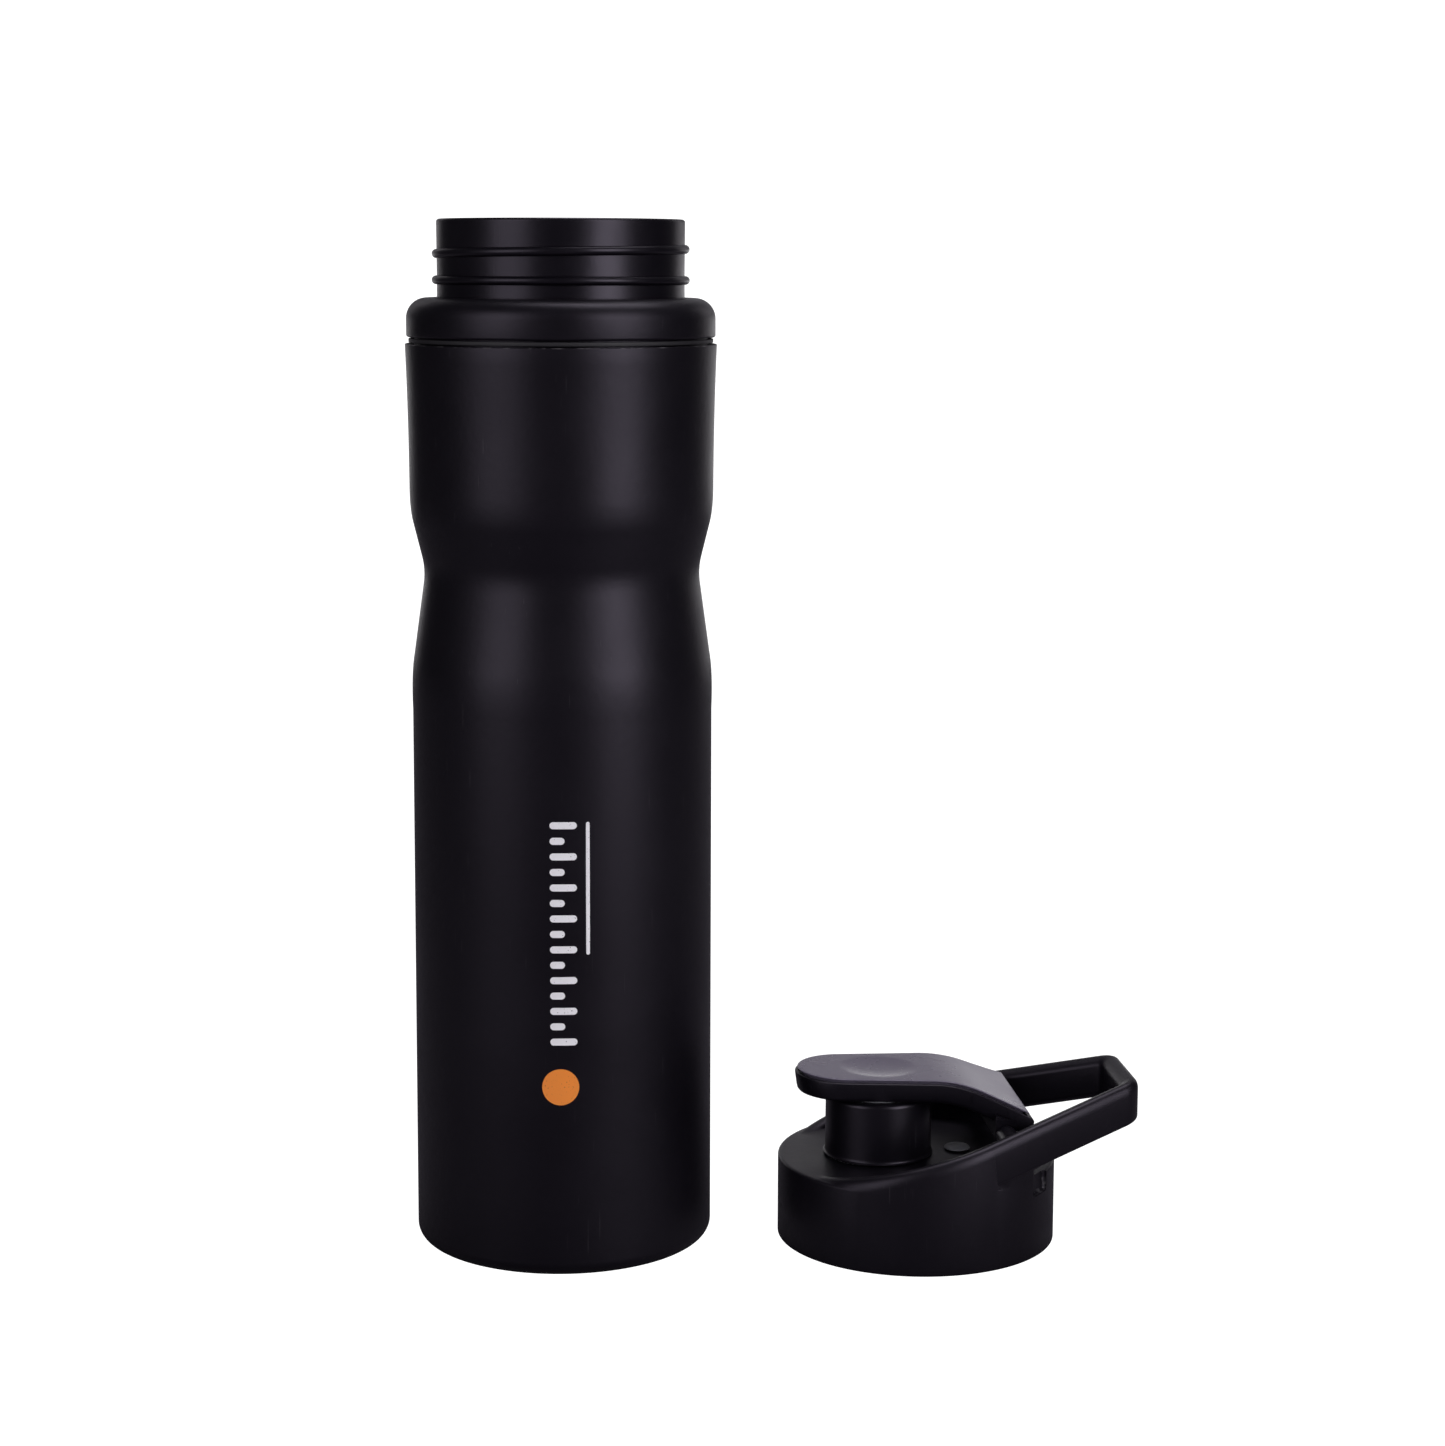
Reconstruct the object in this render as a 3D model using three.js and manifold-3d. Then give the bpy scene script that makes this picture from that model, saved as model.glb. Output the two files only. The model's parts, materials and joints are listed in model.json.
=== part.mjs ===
// A shaker bottle with its cap taken off and standing beside it: a coated steel body round a plastic
// liner, a threaded neck under a shoulder collar, and a screw cap with a carry loop, a spout and a
// flip lid. Millimetres, +Z up, origin on the bottle's axis at the face it stands on.
import * as THREE from "three";
import { mergeVertices } from "three/addons/utils/BufferGeometryUtils.js";
import Module from "manifold-3d";

const wasm = await Module();
wasm.setup();

// Clear space kept between two pieces that touch on the real bottle.
const GAP = 0.3;
// Flats round a large ring, round a small ring and round a pin.
const ROUND = 36;
const SMALL_ROUND = 28;
const PIN_ROUND = 14;

// The steel shell: radii at the foot, above and below the waist, and at the top edge.
const BODY_R = 36.5;
const WAIST_R = 33.15;
const SHELL_TOP_R = 37.6;
const WAIST_Z = 166.8;
const LOWER_SHOULDER_Z = 141.5;
const UPPER_SHOULDER_Z = 181.3;
const SHELL_TOP_Z = 221.3;
const SHELL_WALL = 0.8;
const FOOT_RADIUS = 3.6;
const FOOT_FLANGE_R = 31;
const BASE_THICK = 0.9;

// The liner hangs inside the shell and is as narrow as the waist lets it be.
const LINER_R = 31.9;
const LINER_WALL = 1.5;
const LINER_BOTTOM_Z = 5;
const LINER_TOP_Z = 219;
const LINER_FLANGE_R = 33.1;

// The collar, the neck it holds down and the neck's screw thread.
const COLLAR_R = 37.25;
const COLLAR_BOTTOM_Z = 222.9;
const COLLAR_TOP_Z = 232.3;
const COLLAR_SKIRT_R = 35.3;
const COLLAR_SKIRT_BOTTOM_Z = 214.2;
const COLLAR_ROUNDING = 4.95;
const NECK_R = 29.85;
const NECK_BORE_R = 27.65;
const NECK_FLANGE_R = 31.7;
const NECK_FLANGE_TOP_Z = 226.6;
const NECK_BOTTOM_Z = 221.5;
const RIM_Z = 251;
const THREAD_PITCH = 2.4;
const THREAD_RADIUS = 1.15;
const THREAD_START_Z = 242.1;
const BEAD_Z = 236.5;
const BEAD_R = 31;

// The agitator: three crossed round fins.
const BALL_R = 20;
const FIN_THICK = 2.4;
const FIN_HOLE_R = 5;
const FIN_HOLE_AT = 11.5;

// Where the cap stands, and how far its loop is turned from +X.
const CAP_X = 87.9;
const CAP_Y = -0.6;
const CAP_TURN = THREE.MathUtils.degToRad(5.5);

// The cap: skirt, deck, and the band that climbs from the deck to the end of the carry loop.
const SKIRT_R = 34.45;
const SKIRT_WALL = 1.5;
const DECK_UNDER_Z = 18.6;
const DECK_EDGE_Z = 20.4;
const DECK_Z = 21;
const BAND_WALL = 4.7;
const BAND_DEPTH = 10.4;
const BAND_Z_AT_AXIS = 27.4;
const BAND_SLOPE = 0.262;
const LOOP_END_X = 53.9;
const LOOP_CORNER_R = 6.5;
const LOOP_CORNER_Y = 9.2;

// The ring inside the skirt that holds the cap's own thread.
const INSERT_R = 32.65;
const INSERT_BORE_R = 31.35;
const INSERT_THREAD_RADIUS = 1;
const INSERT_THREAD_Z = 6;

// The spout and what seals and holds it.
const SPOUT_X = -9.6;
const SPOUT_R = 13.2;
const SPOUT_BORE_R = 10.4;
const SPOUT_TOP_Z = 36.4;
const SPIGOT_R = 11.5;
const DECK_HOLE_R = 12.9;
const VENT_X = 10.4;
const VENT_HOLE_R = 1.4;

// The hinge across the loop's two arms.
const HINGE_X = 19.5;
const HINGE_Z = 29.3;
const BARREL_R = 2.6;
const BARREL_HALF = 17.2;
const PIN_R = 1.2;
const PIN_HALF = 25.5;
const PIN_HOLE_IN_LID_R = 1.32;
const PIN_HOLE_IN_CAP_R = 1.5;

// The flip lid: a flat paddle whose tail bends down on an arc and runs on as a straight ramp.
const LID_TIP_R = 12.6;
const LID_TIP_X = -17.5;
const LID_TAIL_X = 26;
const LID_TAIL_HALF = 19.4;
const LID_BEND_R = 33;
const LID_BEND_X = 2;
const LID_THICK = 5.7;
const LID_TILT = THREE.MathUtils.degToRad(1.26);
const LID_RAMP = THREE.MathUtils.degToRad(22.8);
const LID_Z_AT_AXIS = 42.4;
const PANEL_THICK = 1.4;
const PANEL_PROUD = 0.5;
const DISH_R = 10.2;
const DISH_DEPTH = 0.9;
const PLUG_FLANGE_R = 11.8;
const PLUG_SEAT_Z = 38.2;

const COLOURS = {
  coating: { color: 0x121116, roughness: 0.5, metalness: 0.4 },
  matte: { color: 0x151419, roughness: 0.6, metalness: 0 },
  gloss: { color: 0x0d0c10, roughness: 0.2, metalness: 0 },
  satin: { color: 0x2a2830, roughness: 0.45, metalness: 0 },
  natural: { color: 0xc9cccf, roughness: 0.5, metalness: 0 },
  silicone: { color: 0x8d9196, roughness: 0.7, metalness: 0 },
  steel: { color: 0xb9bcc0, roughness: 0.3, metalness: 1 },
};

// A three.js geometry as a manifold solid.
function solid(geometry) {
  const bare = geometry.clone();
  bare.deleteAttribute("normal");
  bare.deleteAttribute("uv");
  const merged = mergeVertices(bare, 1e-4);
  return new wasm.Manifold(
    new wasm.Mesh({
      numProp: 3,
      vertProperties: merged.attributes.position.array,
      triVerts: new Uint32Array(merged.index.array),
    }),
  );
}

// A manifold solid as a three.js geometry.
function surface(body) {
  const mesh = body.getMesh();
  const geometry = new THREE.BufferGeometry();
  geometry.setAttribute("position", new THREE.BufferAttribute(mesh.vertProperties, 3));
  geometry.setIndex(new THREE.BufferAttribute(mesh.triVerts, 1));
  const flat = geometry.toNonIndexed();
  flat.computeVertexNormals();
  return flat;
}

function part(name, finish, geometry) {
  const mesh = new THREE.Mesh(geometry, new THREE.MeshStandardMaterial(COLOURS[finish]));
  mesh.name = name;
  return mesh;
}

// A profile of [radius, height] points, listed with the material on the left hand, turned about Z.
function turned(profile, flats = ROUND) {
  const points = profile.map(([radius, height]) => new THREE.Vector2(radius, height));
  return new THREE.LatheGeometry(points, flats).rotateX(Math.PI / 2);
}

// A closed ring of square section.
function ring(inner, outer, bottom, top, flats = ROUND) {
  return turned([
    [inner, bottom],
    [outer, bottom],
    [outer, top],
    [inner, top],
    [inner, bottom],
  ], flats);
}

// Points along an arc in a profile, angles in degrees.
function arc(centreR, centreZ, radius, from, to, steps) {
  return Array.from({ length: steps + 1 }, (_, i) => {
    const angle = THREE.MathUtils.degToRad(from + ((to - from) * i) / steps);
    return [centreR + radius * Math.cos(angle), centreZ + radius * Math.sin(angle)];
  });
}

// A plan outline raised from one height to another.
function raised(shape, bottom, top, curveSegments = 10) {
  const options = { depth: top - bottom, bevelEnabled: false, curveSegments };
  return new THREE.ExtrudeGeometry(shape, options).translate(0, 0, bottom);
}

// A side outline, drawn in X and Z, drawn out to both sides of the XZ plane.
function across(shape, halfWidth, curveSegments = 10) {
  const options = { depth: 2 * halfWidth, bevelEnabled: false, curveSegments };
  return new THREE.ExtrudeGeometry(shape, options).rotateX(Math.PI / 2).translate(0, halfWidth, 0);
}

// A round bar along Y from one y to another.
function crossBar(radius, x, z, from, to, flats = PIN_ROUND) {
  const bar = new THREE.CylinderGeometry(radius, radius, to - from, flats);
  return bar.translate(x, (from + to) / 2, z);
}

class Helix extends THREE.Curve {
  constructor(radius, bottom, pitch, startAngle, turns) {
    super();
    Object.assign(this, { radius, bottom, pitch, startAngle, turns });
  }

  getPoint(t, target = new THREE.Vector3()) {
    const angle = this.startAngle + 2 * Math.PI * this.turns * t;
    const height = this.bottom + this.pitch * this.turns * t;
    return target.set(this.radius * Math.cos(angle), this.radius * Math.sin(angle), height);
  }
}

// A round thread ridge along a helix of just under one turn.
function threadRidge(radius, bottom, ridge) {
  const section = new THREE.Shape().absarc(0, 0, ridge, 0, 2 * Math.PI, false);
  const path = new Helix(radius, bottom, THREAD_PITCH, Math.PI / 2, 0.96);
  return new THREE.ExtrudeGeometry(section, { steps: 40, curveSegments: 3, extrudePath: path });
}

// Outer side of the shell from the foot's rounding to the top edge, moved inwards by `inset`.
function shellSide(inset, bottom) {
  const path = new THREE.Path();
  path.moveTo(BODY_R - inset, bottom);
  path.lineTo(BODY_R - inset, LOWER_SHOULDER_Z - 9);
  path.quadraticCurveTo(
    BODY_R + 0.35 - inset, LOWER_SHOULDER_Z,
    BODY_R - 0.55 - inset, LOWER_SHOULDER_Z + 5,
  );
  path.lineTo(WAIST_R + 0.5 - inset, WAIST_Z - 3.6);
  path.quadraticCurveTo(WAIST_R - inset, WAIST_Z, WAIST_R + 0.8 - inset, WAIST_Z + 3.2);
  path.lineTo(BODY_R - 0.5 - inset, UPPER_SHOULDER_Z - 3);
  path.quadraticCurveTo(
    BODY_R + 0.25 - inset, UPPER_SHOULDER_Z,
    BODY_R + 0.32 - inset, UPPER_SHOULDER_Z + 5,
  );
  path.quadraticCurveTo(
    BODY_R + 0.4 - inset, SHELL_TOP_Z - 16,
    SHELL_TOP_R - inset, SHELL_TOP_Z,
  );
  return path.getPoints(3).map((point) => [point.x, point.y]);
}

function outerShell() {
  const cornerR = BODY_R - FOOT_RADIUS;
  const innerCorner = FOOT_RADIUS - SHELL_WALL;
  const profile = [
    [FOOT_FLANGE_R, 0],
    ...arc(cornerR, FOOT_RADIUS, FOOT_RADIUS, -90, -18, 4),
    ...shellSide(0, FOOT_RADIUS),
    ...shellSide(SHELL_WALL, FOOT_RADIUS).reverse(),
    ...arc(cornerR, FOOT_RADIUS, innerCorner, -18, -90, 4),
    [FOOT_FLANGE_R, SHELL_WALL],
    [FOOT_FLANGE_R, 0],
  ];
  return part("outer_shell", "coating", turned(profile));
}

// A flat pressed disc with a shallow stiffening groove in its underside.
function baseDisc() {
  const edge = FOOT_FLANGE_R - GAP;
  const profile = [
    [0, 0],
    [22, 0],
    [22.6, 0.4],
    [26.4, 0.4],
    [27, 0],
    [edge, 0],
    [edge, BASE_THICK],
    [27, BASE_THICK],
    [26.2, BASE_THICK + 0.4],
    [22.8, BASE_THICK + 0.4],
    [22, BASE_THICK],
    [0, BASE_THICK],
  ];
  return part("base_disc", "coating", turned(profile));
}

// The ring that centres the liner over the base.
function linerSupport() {
  const bottom = BASE_THICK + 0.4 + GAP;
  return part("liner_support", "silicone", ring(23, 31, bottom, LINER_BOTTOM_Z - GAP));
}

function innerLiner() {
  const corner = 3.5;
  const innerCorner = corner - LINER_WALL / 2;
  const bore = LINER_R - LINER_WALL;
  const floor = LINER_BOTTOM_Z + LINER_WALL;
  const profile = [
    [0, LINER_BOTTOM_Z],
    ...arc(LINER_R - corner, LINER_BOTTOM_Z + corner, corner, -90, 0, 3),
    [LINER_R, LINER_TOP_Z - 2.4],
    [LINER_FLANGE_R, LINER_TOP_Z - 1.6],
    [LINER_FLANGE_R, LINER_TOP_Z],
    [bore, LINER_TOP_Z],
    ...arc(bore - innerCorner, floor + innerCorner, innerCorner, 0, -90, 3),
    [0, floor],
  ];
  return part("inner_liner", "natural", turned(profile));
}

function linerGasket() {
  const profile = ring(28.2, 31.5, LINER_TOP_Z + GAP, NECK_BOTTOM_Z - GAP);
  return part("liner_gasket", "silicone", profile);
}

function neckRing() {
  const profile = [
    [NECK_BORE_R, NECK_BOTTOM_Z],
    [NECK_FLANGE_R, NECK_BOTTOM_Z],
    [NECK_FLANGE_R, NECK_FLANGE_TOP_Z],
    [NECK_R, NECK_FLANGE_TOP_Z],
    [NECK_R, BEAD_Z - 1.1],
    [BEAD_R, BEAD_Z - 0.6],
    [BEAD_R, BEAD_Z + 0.6],
    [NECK_R, BEAD_Z + 1.1],
    [NECK_R, RIM_Z - 0.6],
    [NECK_R - 0.55, RIM_Z],
    [NECK_BORE_R + 0.55, RIM_Z],
    [NECK_BORE_R, RIM_Z - 0.8],
    [NECK_BORE_R, NECK_BOTTOM_Z],
  ];
  const ridge = threadRidge(NECK_R, THREAD_START_Z, THREAD_RADIUS);
  const body = solid(turned(profile)).add(solid(ridge));
  return part("neck_ring", "gloss", surface(body));
}

// Rounded shoulder over the neck's flange, with a skirt pressed into the top of the shell.
function shoulderCollar() {
  const arcR = COLLAR_R - COLLAR_ROUNDING;
  const arcZ = COLLAR_TOP_Z - COLLAR_ROUNDING;
  const bore = NECK_R + GAP;
  const profile = [
    [COLLAR_SKIRT_R - 1.8, COLLAR_SKIRT_BOTTOM_Z],
    [COLLAR_SKIRT_R, COLLAR_SKIRT_BOTTOM_Z],
    [COLLAR_SKIRT_R, COLLAR_BOTTOM_Z],
    [COLLAR_R - 0.3, COLLAR_BOTTOM_Z],
    [COLLAR_R, COLLAR_BOTTOM_Z + 0.6],
    ...arc(arcR, arcZ, COLLAR_ROUNDING, 0, 90, 5),
    [bore, COLLAR_TOP_Z],
    [bore, NECK_FLANGE_TOP_Z + GAP],
    [COLLAR_SKIRT_R - 1.8, NECK_FLANGE_TOP_Z + GAP],
    [COLLAR_SKIRT_R - 1.8, COLLAR_SKIRT_BOTTOM_Z],
  ];
  return part("shoulder_collar", "matte", turned(profile));
}

function collarSeal() {
  const inner = COLLAR_SKIRT_R + GAP;
  const seal = ring(inner, 36.7, SHELL_TOP_Z + GAP, COLLAR_BOTTOM_Z - GAP);
  return part("collar_seal", "silicone", seal);
}

// One fin of the agitator: a round plate with a hole in each quarter.
function fin() {
  const plate = new THREE.Shape().absarc(0, 0, BALL_R, 0, 2 * Math.PI, false);
  for (const turn of [45, 135, 225, 315]) {
    const angle = THREE.MathUtils.degToRad(turn);
    const hole = new THREE.Path();
    const x = FIN_HOLE_AT * Math.cos(angle);
    const y = FIN_HOLE_AT * Math.sin(angle);
    hole.absarc(x, y, FIN_HOLE_R, 0, 2 * Math.PI, true);
    plate.holes.push(hole);
  }
  return raised(plate, -FIN_THICK / 2, FIN_THICK / 2, 6);
}

// Three crossed fins, resting on the floor of the liner.
function mixingBall() {
  const rest = LINER_BOTTOM_Z + LINER_WALL + GAP + BALL_R;
  const level = solid(fin());
  const alongX = solid(fin().rotateX(Math.PI / 2));
  const alongY = solid(fin().rotateY(Math.PI / 2));
  const ball = surface(level.add(alongX).add(alongY));
  return part("mixing_ball", "natural", ball.translate(0, 0, rest));
}

// Plan of the cap and its loop: a large circle and two small corner circles joined by tangents.
// `inset` moves the whole outline inwards, and `open` leaves that angle out on the side away from
// the loop.
function capOutline(inset, open = 0) {
  const cornerX = LOOP_END_X - LOOP_CORNER_R;
  const reach = Math.hypot(cornerX, LOOP_CORNER_Y);
  const lean = Math.acos((SKIRT_R - LOOP_CORNER_R) / reach);
  const tangent = Math.atan2(LOOP_CORNER_Y, cornerX) + lean;
  const corner = LOOP_CORNER_R - inset;
  const outline = new THREE.Shape();
  outline.absarc(0, 0, SKIRT_R - inset, Math.PI + open, 2 * Math.PI - tangent, false);
  outline.absarc(cornerX, -LOOP_CORNER_Y, corner, -tangent, 0, false);
  outline.absarc(cornerX, LOOP_CORNER_Y, corner, 0, tangent, false);
  outline.absarc(0, 0, SKIRT_R - inset, tangent, Math.PI - open, false);
  return outline;
}

function bandTop(x) {
  return BAND_Z_AT_AXIS + BAND_SLOPE * x;
}

// The cap's outline as a level curve in space, for a section to be swept along.
class CapEdge extends THREE.Curve {
  constructor(open) {
    super();
    this.outline = capOutline(0, open);
  }

  getPoint(t, target = new THREE.Vector3()) {
    const point = this.outline.getPoint(t);
    return target.set(point.x, point.y, 0);
  }
}

// Section of the band: upright outside, rounded over the top and sloping down to a lower inside.
// The sweep lays X downwards and Y inwards.
function bandSection() {
  const section = new THREE.Shape();
  section.moveTo(BAND_DEPTH, 0.4);
  section.lineTo(BAND_DEPTH - 0.6, 0);
  section.lineTo(2.8, 0);
  section.quadraticCurveTo(0.3, 0.5, 0, 2.1);
  section.lineTo(1.9, BAND_WALL);
  section.lineTo(BAND_DEPTH - 2.2, BAND_WALL);
  section.lineTo(BAND_DEPTH - 0.3, BAND_WALL - 2);
  section.closePath();
  return section;
}

// The swept band leans up towards the loop's end. Where it lies inside the skirt's drum, a seat
// fills the space between it and the deck.
function capBand() {
  const floor = DECK_UNDER_Z + 0.4;
  const options = { steps: 76, curveSegments: 3, extrudePath: new CapEdge(0.03) };
  const lean = new THREE.Matrix4().makeShear(0, BAND_SLOPE, 0, 0, 0, 0);
  const band = new THREE.ExtrudeGeometry(bandSection(), options);
  const above = new THREE.BoxGeometry(200, 200, 40).translate(0, 0, floor + 20);
  const swept = solid(band.applyMatrix4(lean).translate(0, 0, BAND_Z_AT_AXIS));

  const plan = capOutline(0);
  plan.holes.push(capOutline(BAND_WALL));
  const drum = turned([
    [0, 0],
    [SKIRT_R, 0],
    [SKIRT_R, 50],
    [0, 50],
  ]);
  const side = new THREE.Shape();
  side.moveTo(-40, 0);
  side.lineTo(60, 0);
  side.lineTo(60, bandTop(60) - 3);
  side.lineTo(-40, bandTop(-40) - 3);
  side.closePath();
  const seat = solid(raised(plan, floor, 50, 12))
    .intersect(solid(drum))
    .intersect(solid(across(side, 60)));
  return swept.intersect(solid(above)).add(seat);
}

// Skirt and deck in one cup, with the band, the loop, the hinge bosses and the holes.
function capShell() {
  const bore = SKIRT_R - SKIRT_WALL;
  let shell = solid(turned([
    [0, DECK_UNDER_Z],
    [bore, DECK_UNDER_Z],
    [bore, 0],
    [SKIRT_R - 0.3, 0],
    [SKIRT_R, 0.4],
    [SKIRT_R, DECK_EDGE_Z - 0.6],
    [SKIRT_R - 0.6, DECK_EDGE_Z],
    [24, DECK_Z],
    [0, DECK_Z],
  ])).add(capBand());
  for (const side of [-1, 1]) {
    const ends = [side * (BARREL_HALF + 0.4), side * 25].sort((a, b) => a - b);
    shell = shell.add(solid(crossBar(BARREL_R, HINGE_X, HINGE_Z, ...ends)));
    const pinEnds = [side * 10, side * (PIN_HALF + GAP)].sort((a, b) => a - b);
    shell = shell.subtract(solid(crossBar(PIN_HOLE_IN_CAP_R, HINGE_X, HINGE_Z, ...pinEnds)));
    const relief = new THREE.BoxGeometry(4, 8, 7.5).translate(SKIRT_R + 0.6, 0, 19.2);
    shell = shell.subtract(solid(relief.rotateZ(side * THREE.MathUtils.degToRad(37))));
  }
  const spoutHole = new THREE.CylinderGeometry(DECK_HOLE_R, DECK_HOLE_R, 10, SMALL_ROUND);
  const ventHole = new THREE.CylinderGeometry(VENT_HOLE_R, VENT_HOLE_R, 10, PIN_ROUND);
  shell = shell
    .subtract(solid(spoutHole.rotateX(Math.PI / 2).translate(SPOUT_X, 0, DECK_Z)))
    .subtract(solid(ventHole.rotateX(Math.PI / 2).translate(VENT_X, 0, DECK_Z)));
  return part("cap_shell", "matte", surface(shell));
}

// Ring pressed into the skirt, with the cap's own thread on its inside.
function capInsert() {
  const top = DECK_UNDER_Z - GAP;
  const wall = ring(INSERT_BORE_R, INSERT_R, 0.8, top);
  const ridge = threadRidge(INSERT_BORE_R, INSERT_THREAD_Z, INSERT_THREAD_RADIUS);
  return part("cap_insert", "matte", surface(solid(wall).add(solid(ridge))));
}

function capGasket() {
  return part("cap_gasket", "silicone", ring(27.7, 31, 16.9, DECK_UNDER_Z - GAP));
}

function spout() {
  const foot = DECK_Z + GAP;
  const profile = [
    [SPOUT_BORE_R, 15.6],
    [SPIGOT_R, 15.6],
    [SPIGOT_R, foot],
    [SPOUT_R + 0.7, foot],
    [SPOUT_R + 0.7, foot + 0.6],
    [SPOUT_R, foot + 1.2],
    [SPOUT_R - 0.1, SPOUT_TOP_Z - 1],
    [SPOUT_R - 0.8, SPOUT_TOP_Z],
    [SPOUT_BORE_R + 0.8, SPOUT_TOP_Z],
    [SPOUT_BORE_R, SPOUT_TOP_Z - 0.8],
    [SPOUT_BORE_R, 15.6],
  ];
  return part("spout", "gloss", turned(profile, SMALL_ROUND).translate(SPOUT_X, 0, 0));
}

function spoutSeal() {
  const inner = SPIGOT_R + GAP;
  const outer = DECK_HOLE_R - GAP;
  const seal = ring(inner, outer, 19.3, 20.5, SMALL_ROUND);
  return part("spout_seal", "silicone", seal.translate(SPOUT_X, 0, 0));
}

// Ring that locks the spout's spigot from under the deck.
function spoutLockRing() {
  const lock = ring(SPIGOT_R + GAP, 14.6, 16.4, DECK_UNDER_Z - GAP, SMALL_ROUND);
  return part("spout_lock_ring", "matte", lock.translate(SPOUT_X, 0, 0));
}

// Soft air valve: a stem through the deck, a bulb under it and a cap over it.
function ventValve() {
  const under = DECK_UNDER_Z - GAP;
  const over = DECK_Z + GAP;
  const profile = [
    [0, under - 1.4],
    [1.3, under - 1.2],
    [1.9, under],
    [1, under],
    [1, over],
    [3.2, over],
    [2.9, over + 0.5],
    [0, over + 1],
  ];
  return part("vent_valve", "silicone", turned(profile, PIN_ROUND).translate(VENT_X, 0, 0));
}

// Plan of the lid: a round tip, nearly straight sides, and a tail that flares to the loop's arms.
function lidOutline(inset, tailInset = inset) {
  const tailX = LID_TAIL_X - tailInset;
  const tailHalf = LID_TAIL_HALF - inset * 1.1 - tailInset * 0.45;
  const tipR = LID_TIP_R - inset;
  const waistHalf = 13.7 - inset;
  const outline = new THREE.Shape();
  outline.moveTo(tailX, -tailHalf);
  outline.lineTo(tailX, tailHalf);
  outline.bezierCurveTo(18.5, 16 - inset, 12, 14.2 - inset, 2, waistHalf);
  outline.lineTo(LID_TIP_X, tipR);
  outline.absarc(LID_TIP_X, 0, tipR, Math.PI / 2, (3 * Math.PI) / 2, false);
  outline.lineTo(2, -waistHalf);
  outline.bezierCurveTo(12, -14.2 + inset, 18.5, -16 + inset, tailX, -tailHalf);
  return outline;
}

// Side view of a layer of the lid between two depths below its top face: level, arc and ramp.
function lidLayer(topDepth, bottomDepth) {
  const tipX = -40;
  const rampLength = 20;
  const centreX = LID_BEND_X - LID_BEND_R * Math.sin(LID_TILT);
  const centreZ = LID_Z_AT_AXIS - LID_BEND_X * Math.tan(LID_TILT) - LID_BEND_R * Math.cos(LID_TILT);
  const start = Math.PI / 2 - LID_TILT;
  const end = Math.PI / 2 - LID_RAMP;
  const tip = (depth) => {
    const r = LID_BEND_R - depth;
    const x = centreX + r * Math.cos(start);
    return centreZ + r * Math.sin(start) + (x - tipX) * Math.tan(LID_TILT);
  };
  const ramp = (depth) => {
    const r = LID_BEND_R - depth;
    const x = centreX + r * Math.cos(end) + rampLength * Math.cos(LID_RAMP);
    const z = centreZ + r * Math.sin(end) - rampLength * Math.sin(LID_RAMP);
    return [x, z];
  };
  const side = new THREE.Shape();
  side.moveTo(tipX, tip(topDepth));
  side.lineTo(tipX, tip(bottomDepth));
  side.absarc(centreX, centreZ, LID_BEND_R - bottomDepth, start, end, true);
  side.lineTo(...ramp(bottomDepth));
  side.lineTo(...ramp(topDepth));
  side.absarc(centreX, centreZ, LID_BEND_R - topDepth, end, start, false);
  side.closePath();
  return side;
}

function lidSlab(outline, topDepth, bottomDepth) {
  const plan = solid(raised(outline, 20, 50, 8));
  return plan.intersect(solid(across(lidLayer(topDepth, bottomDepth), 30, 5)));
}

// The lid's body: rim and floor for the top panel, hollow underside, plug seat and hinge barrel.
function flipLid() {
  const panelFloor = PANEL_THICK + GAP;
  let lid = lidSlab(lidOutline(0), PANEL_PROUD, LID_THICK);
  lid = lid.subtract(lidSlab(lidOutline(0.8, 1.3), -1, panelFloor));
  const keepTail = solid(new THREE.BoxGeometry(50, 60, 60).translate(-12, 0, 40));
  const hollow = lidSlab(lidOutline(2.4), panelFloor + 1.7, LID_THICK + 2).intersect(keepTail);
  const seatWall = new THREE.CylinderGeometry(12.6, 12.6, 30, SMALL_ROUND);
  lid = lid.subtract(hollow.subtract(
    solid(seatWall.rotateX(Math.PI / 2).translate(SPOUT_X, 0, 40)),
  ));
  const seatR = PLUG_FLANGE_R + GAP;
  const seat = new THREE.CylinderGeometry(seatR, seatR, 10, SMALL_ROUND);
  lid = lid.subtract(
    solid(seat.rotateX(Math.PI / 2).translate(SPOUT_X, 0, PLUG_SEAT_Z - 5)),
  );
  for (const ends of [[-30, -BARREL_HALF], [BARREL_HALF, 30]]) {
    lid = lid.subtract(solid(crossBar(BARREL_R + 0.7, HINGE_X, HINGE_Z, ...ends)));
  }
  const web = new THREE.Shape();
  web.moveTo(HINGE_X - BARREL_R, HINGE_Z);
  web.lineTo(HINGE_X + BARREL_R, HINGE_Z);
  web.lineTo(HINGE_X + BARREL_R, HINGE_Z + 3.4);
  web.lineTo(HINGE_X - BARREL_R, HINGE_Z + 5);
  web.closePath();
  lid = lid
    .add(solid(crossBar(BARREL_R, HINGE_X, HINGE_Z, -BARREL_HALF, BARREL_HALF)))
    .add(solid(across(web, BARREL_HALF)))
    .subtract(solid(crossBar(PIN_HOLE_IN_LID_R, HINGE_X, HINGE_Z, -30, 30)));
  return part("flip_lid", "matte", surface(lid));
}

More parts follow.
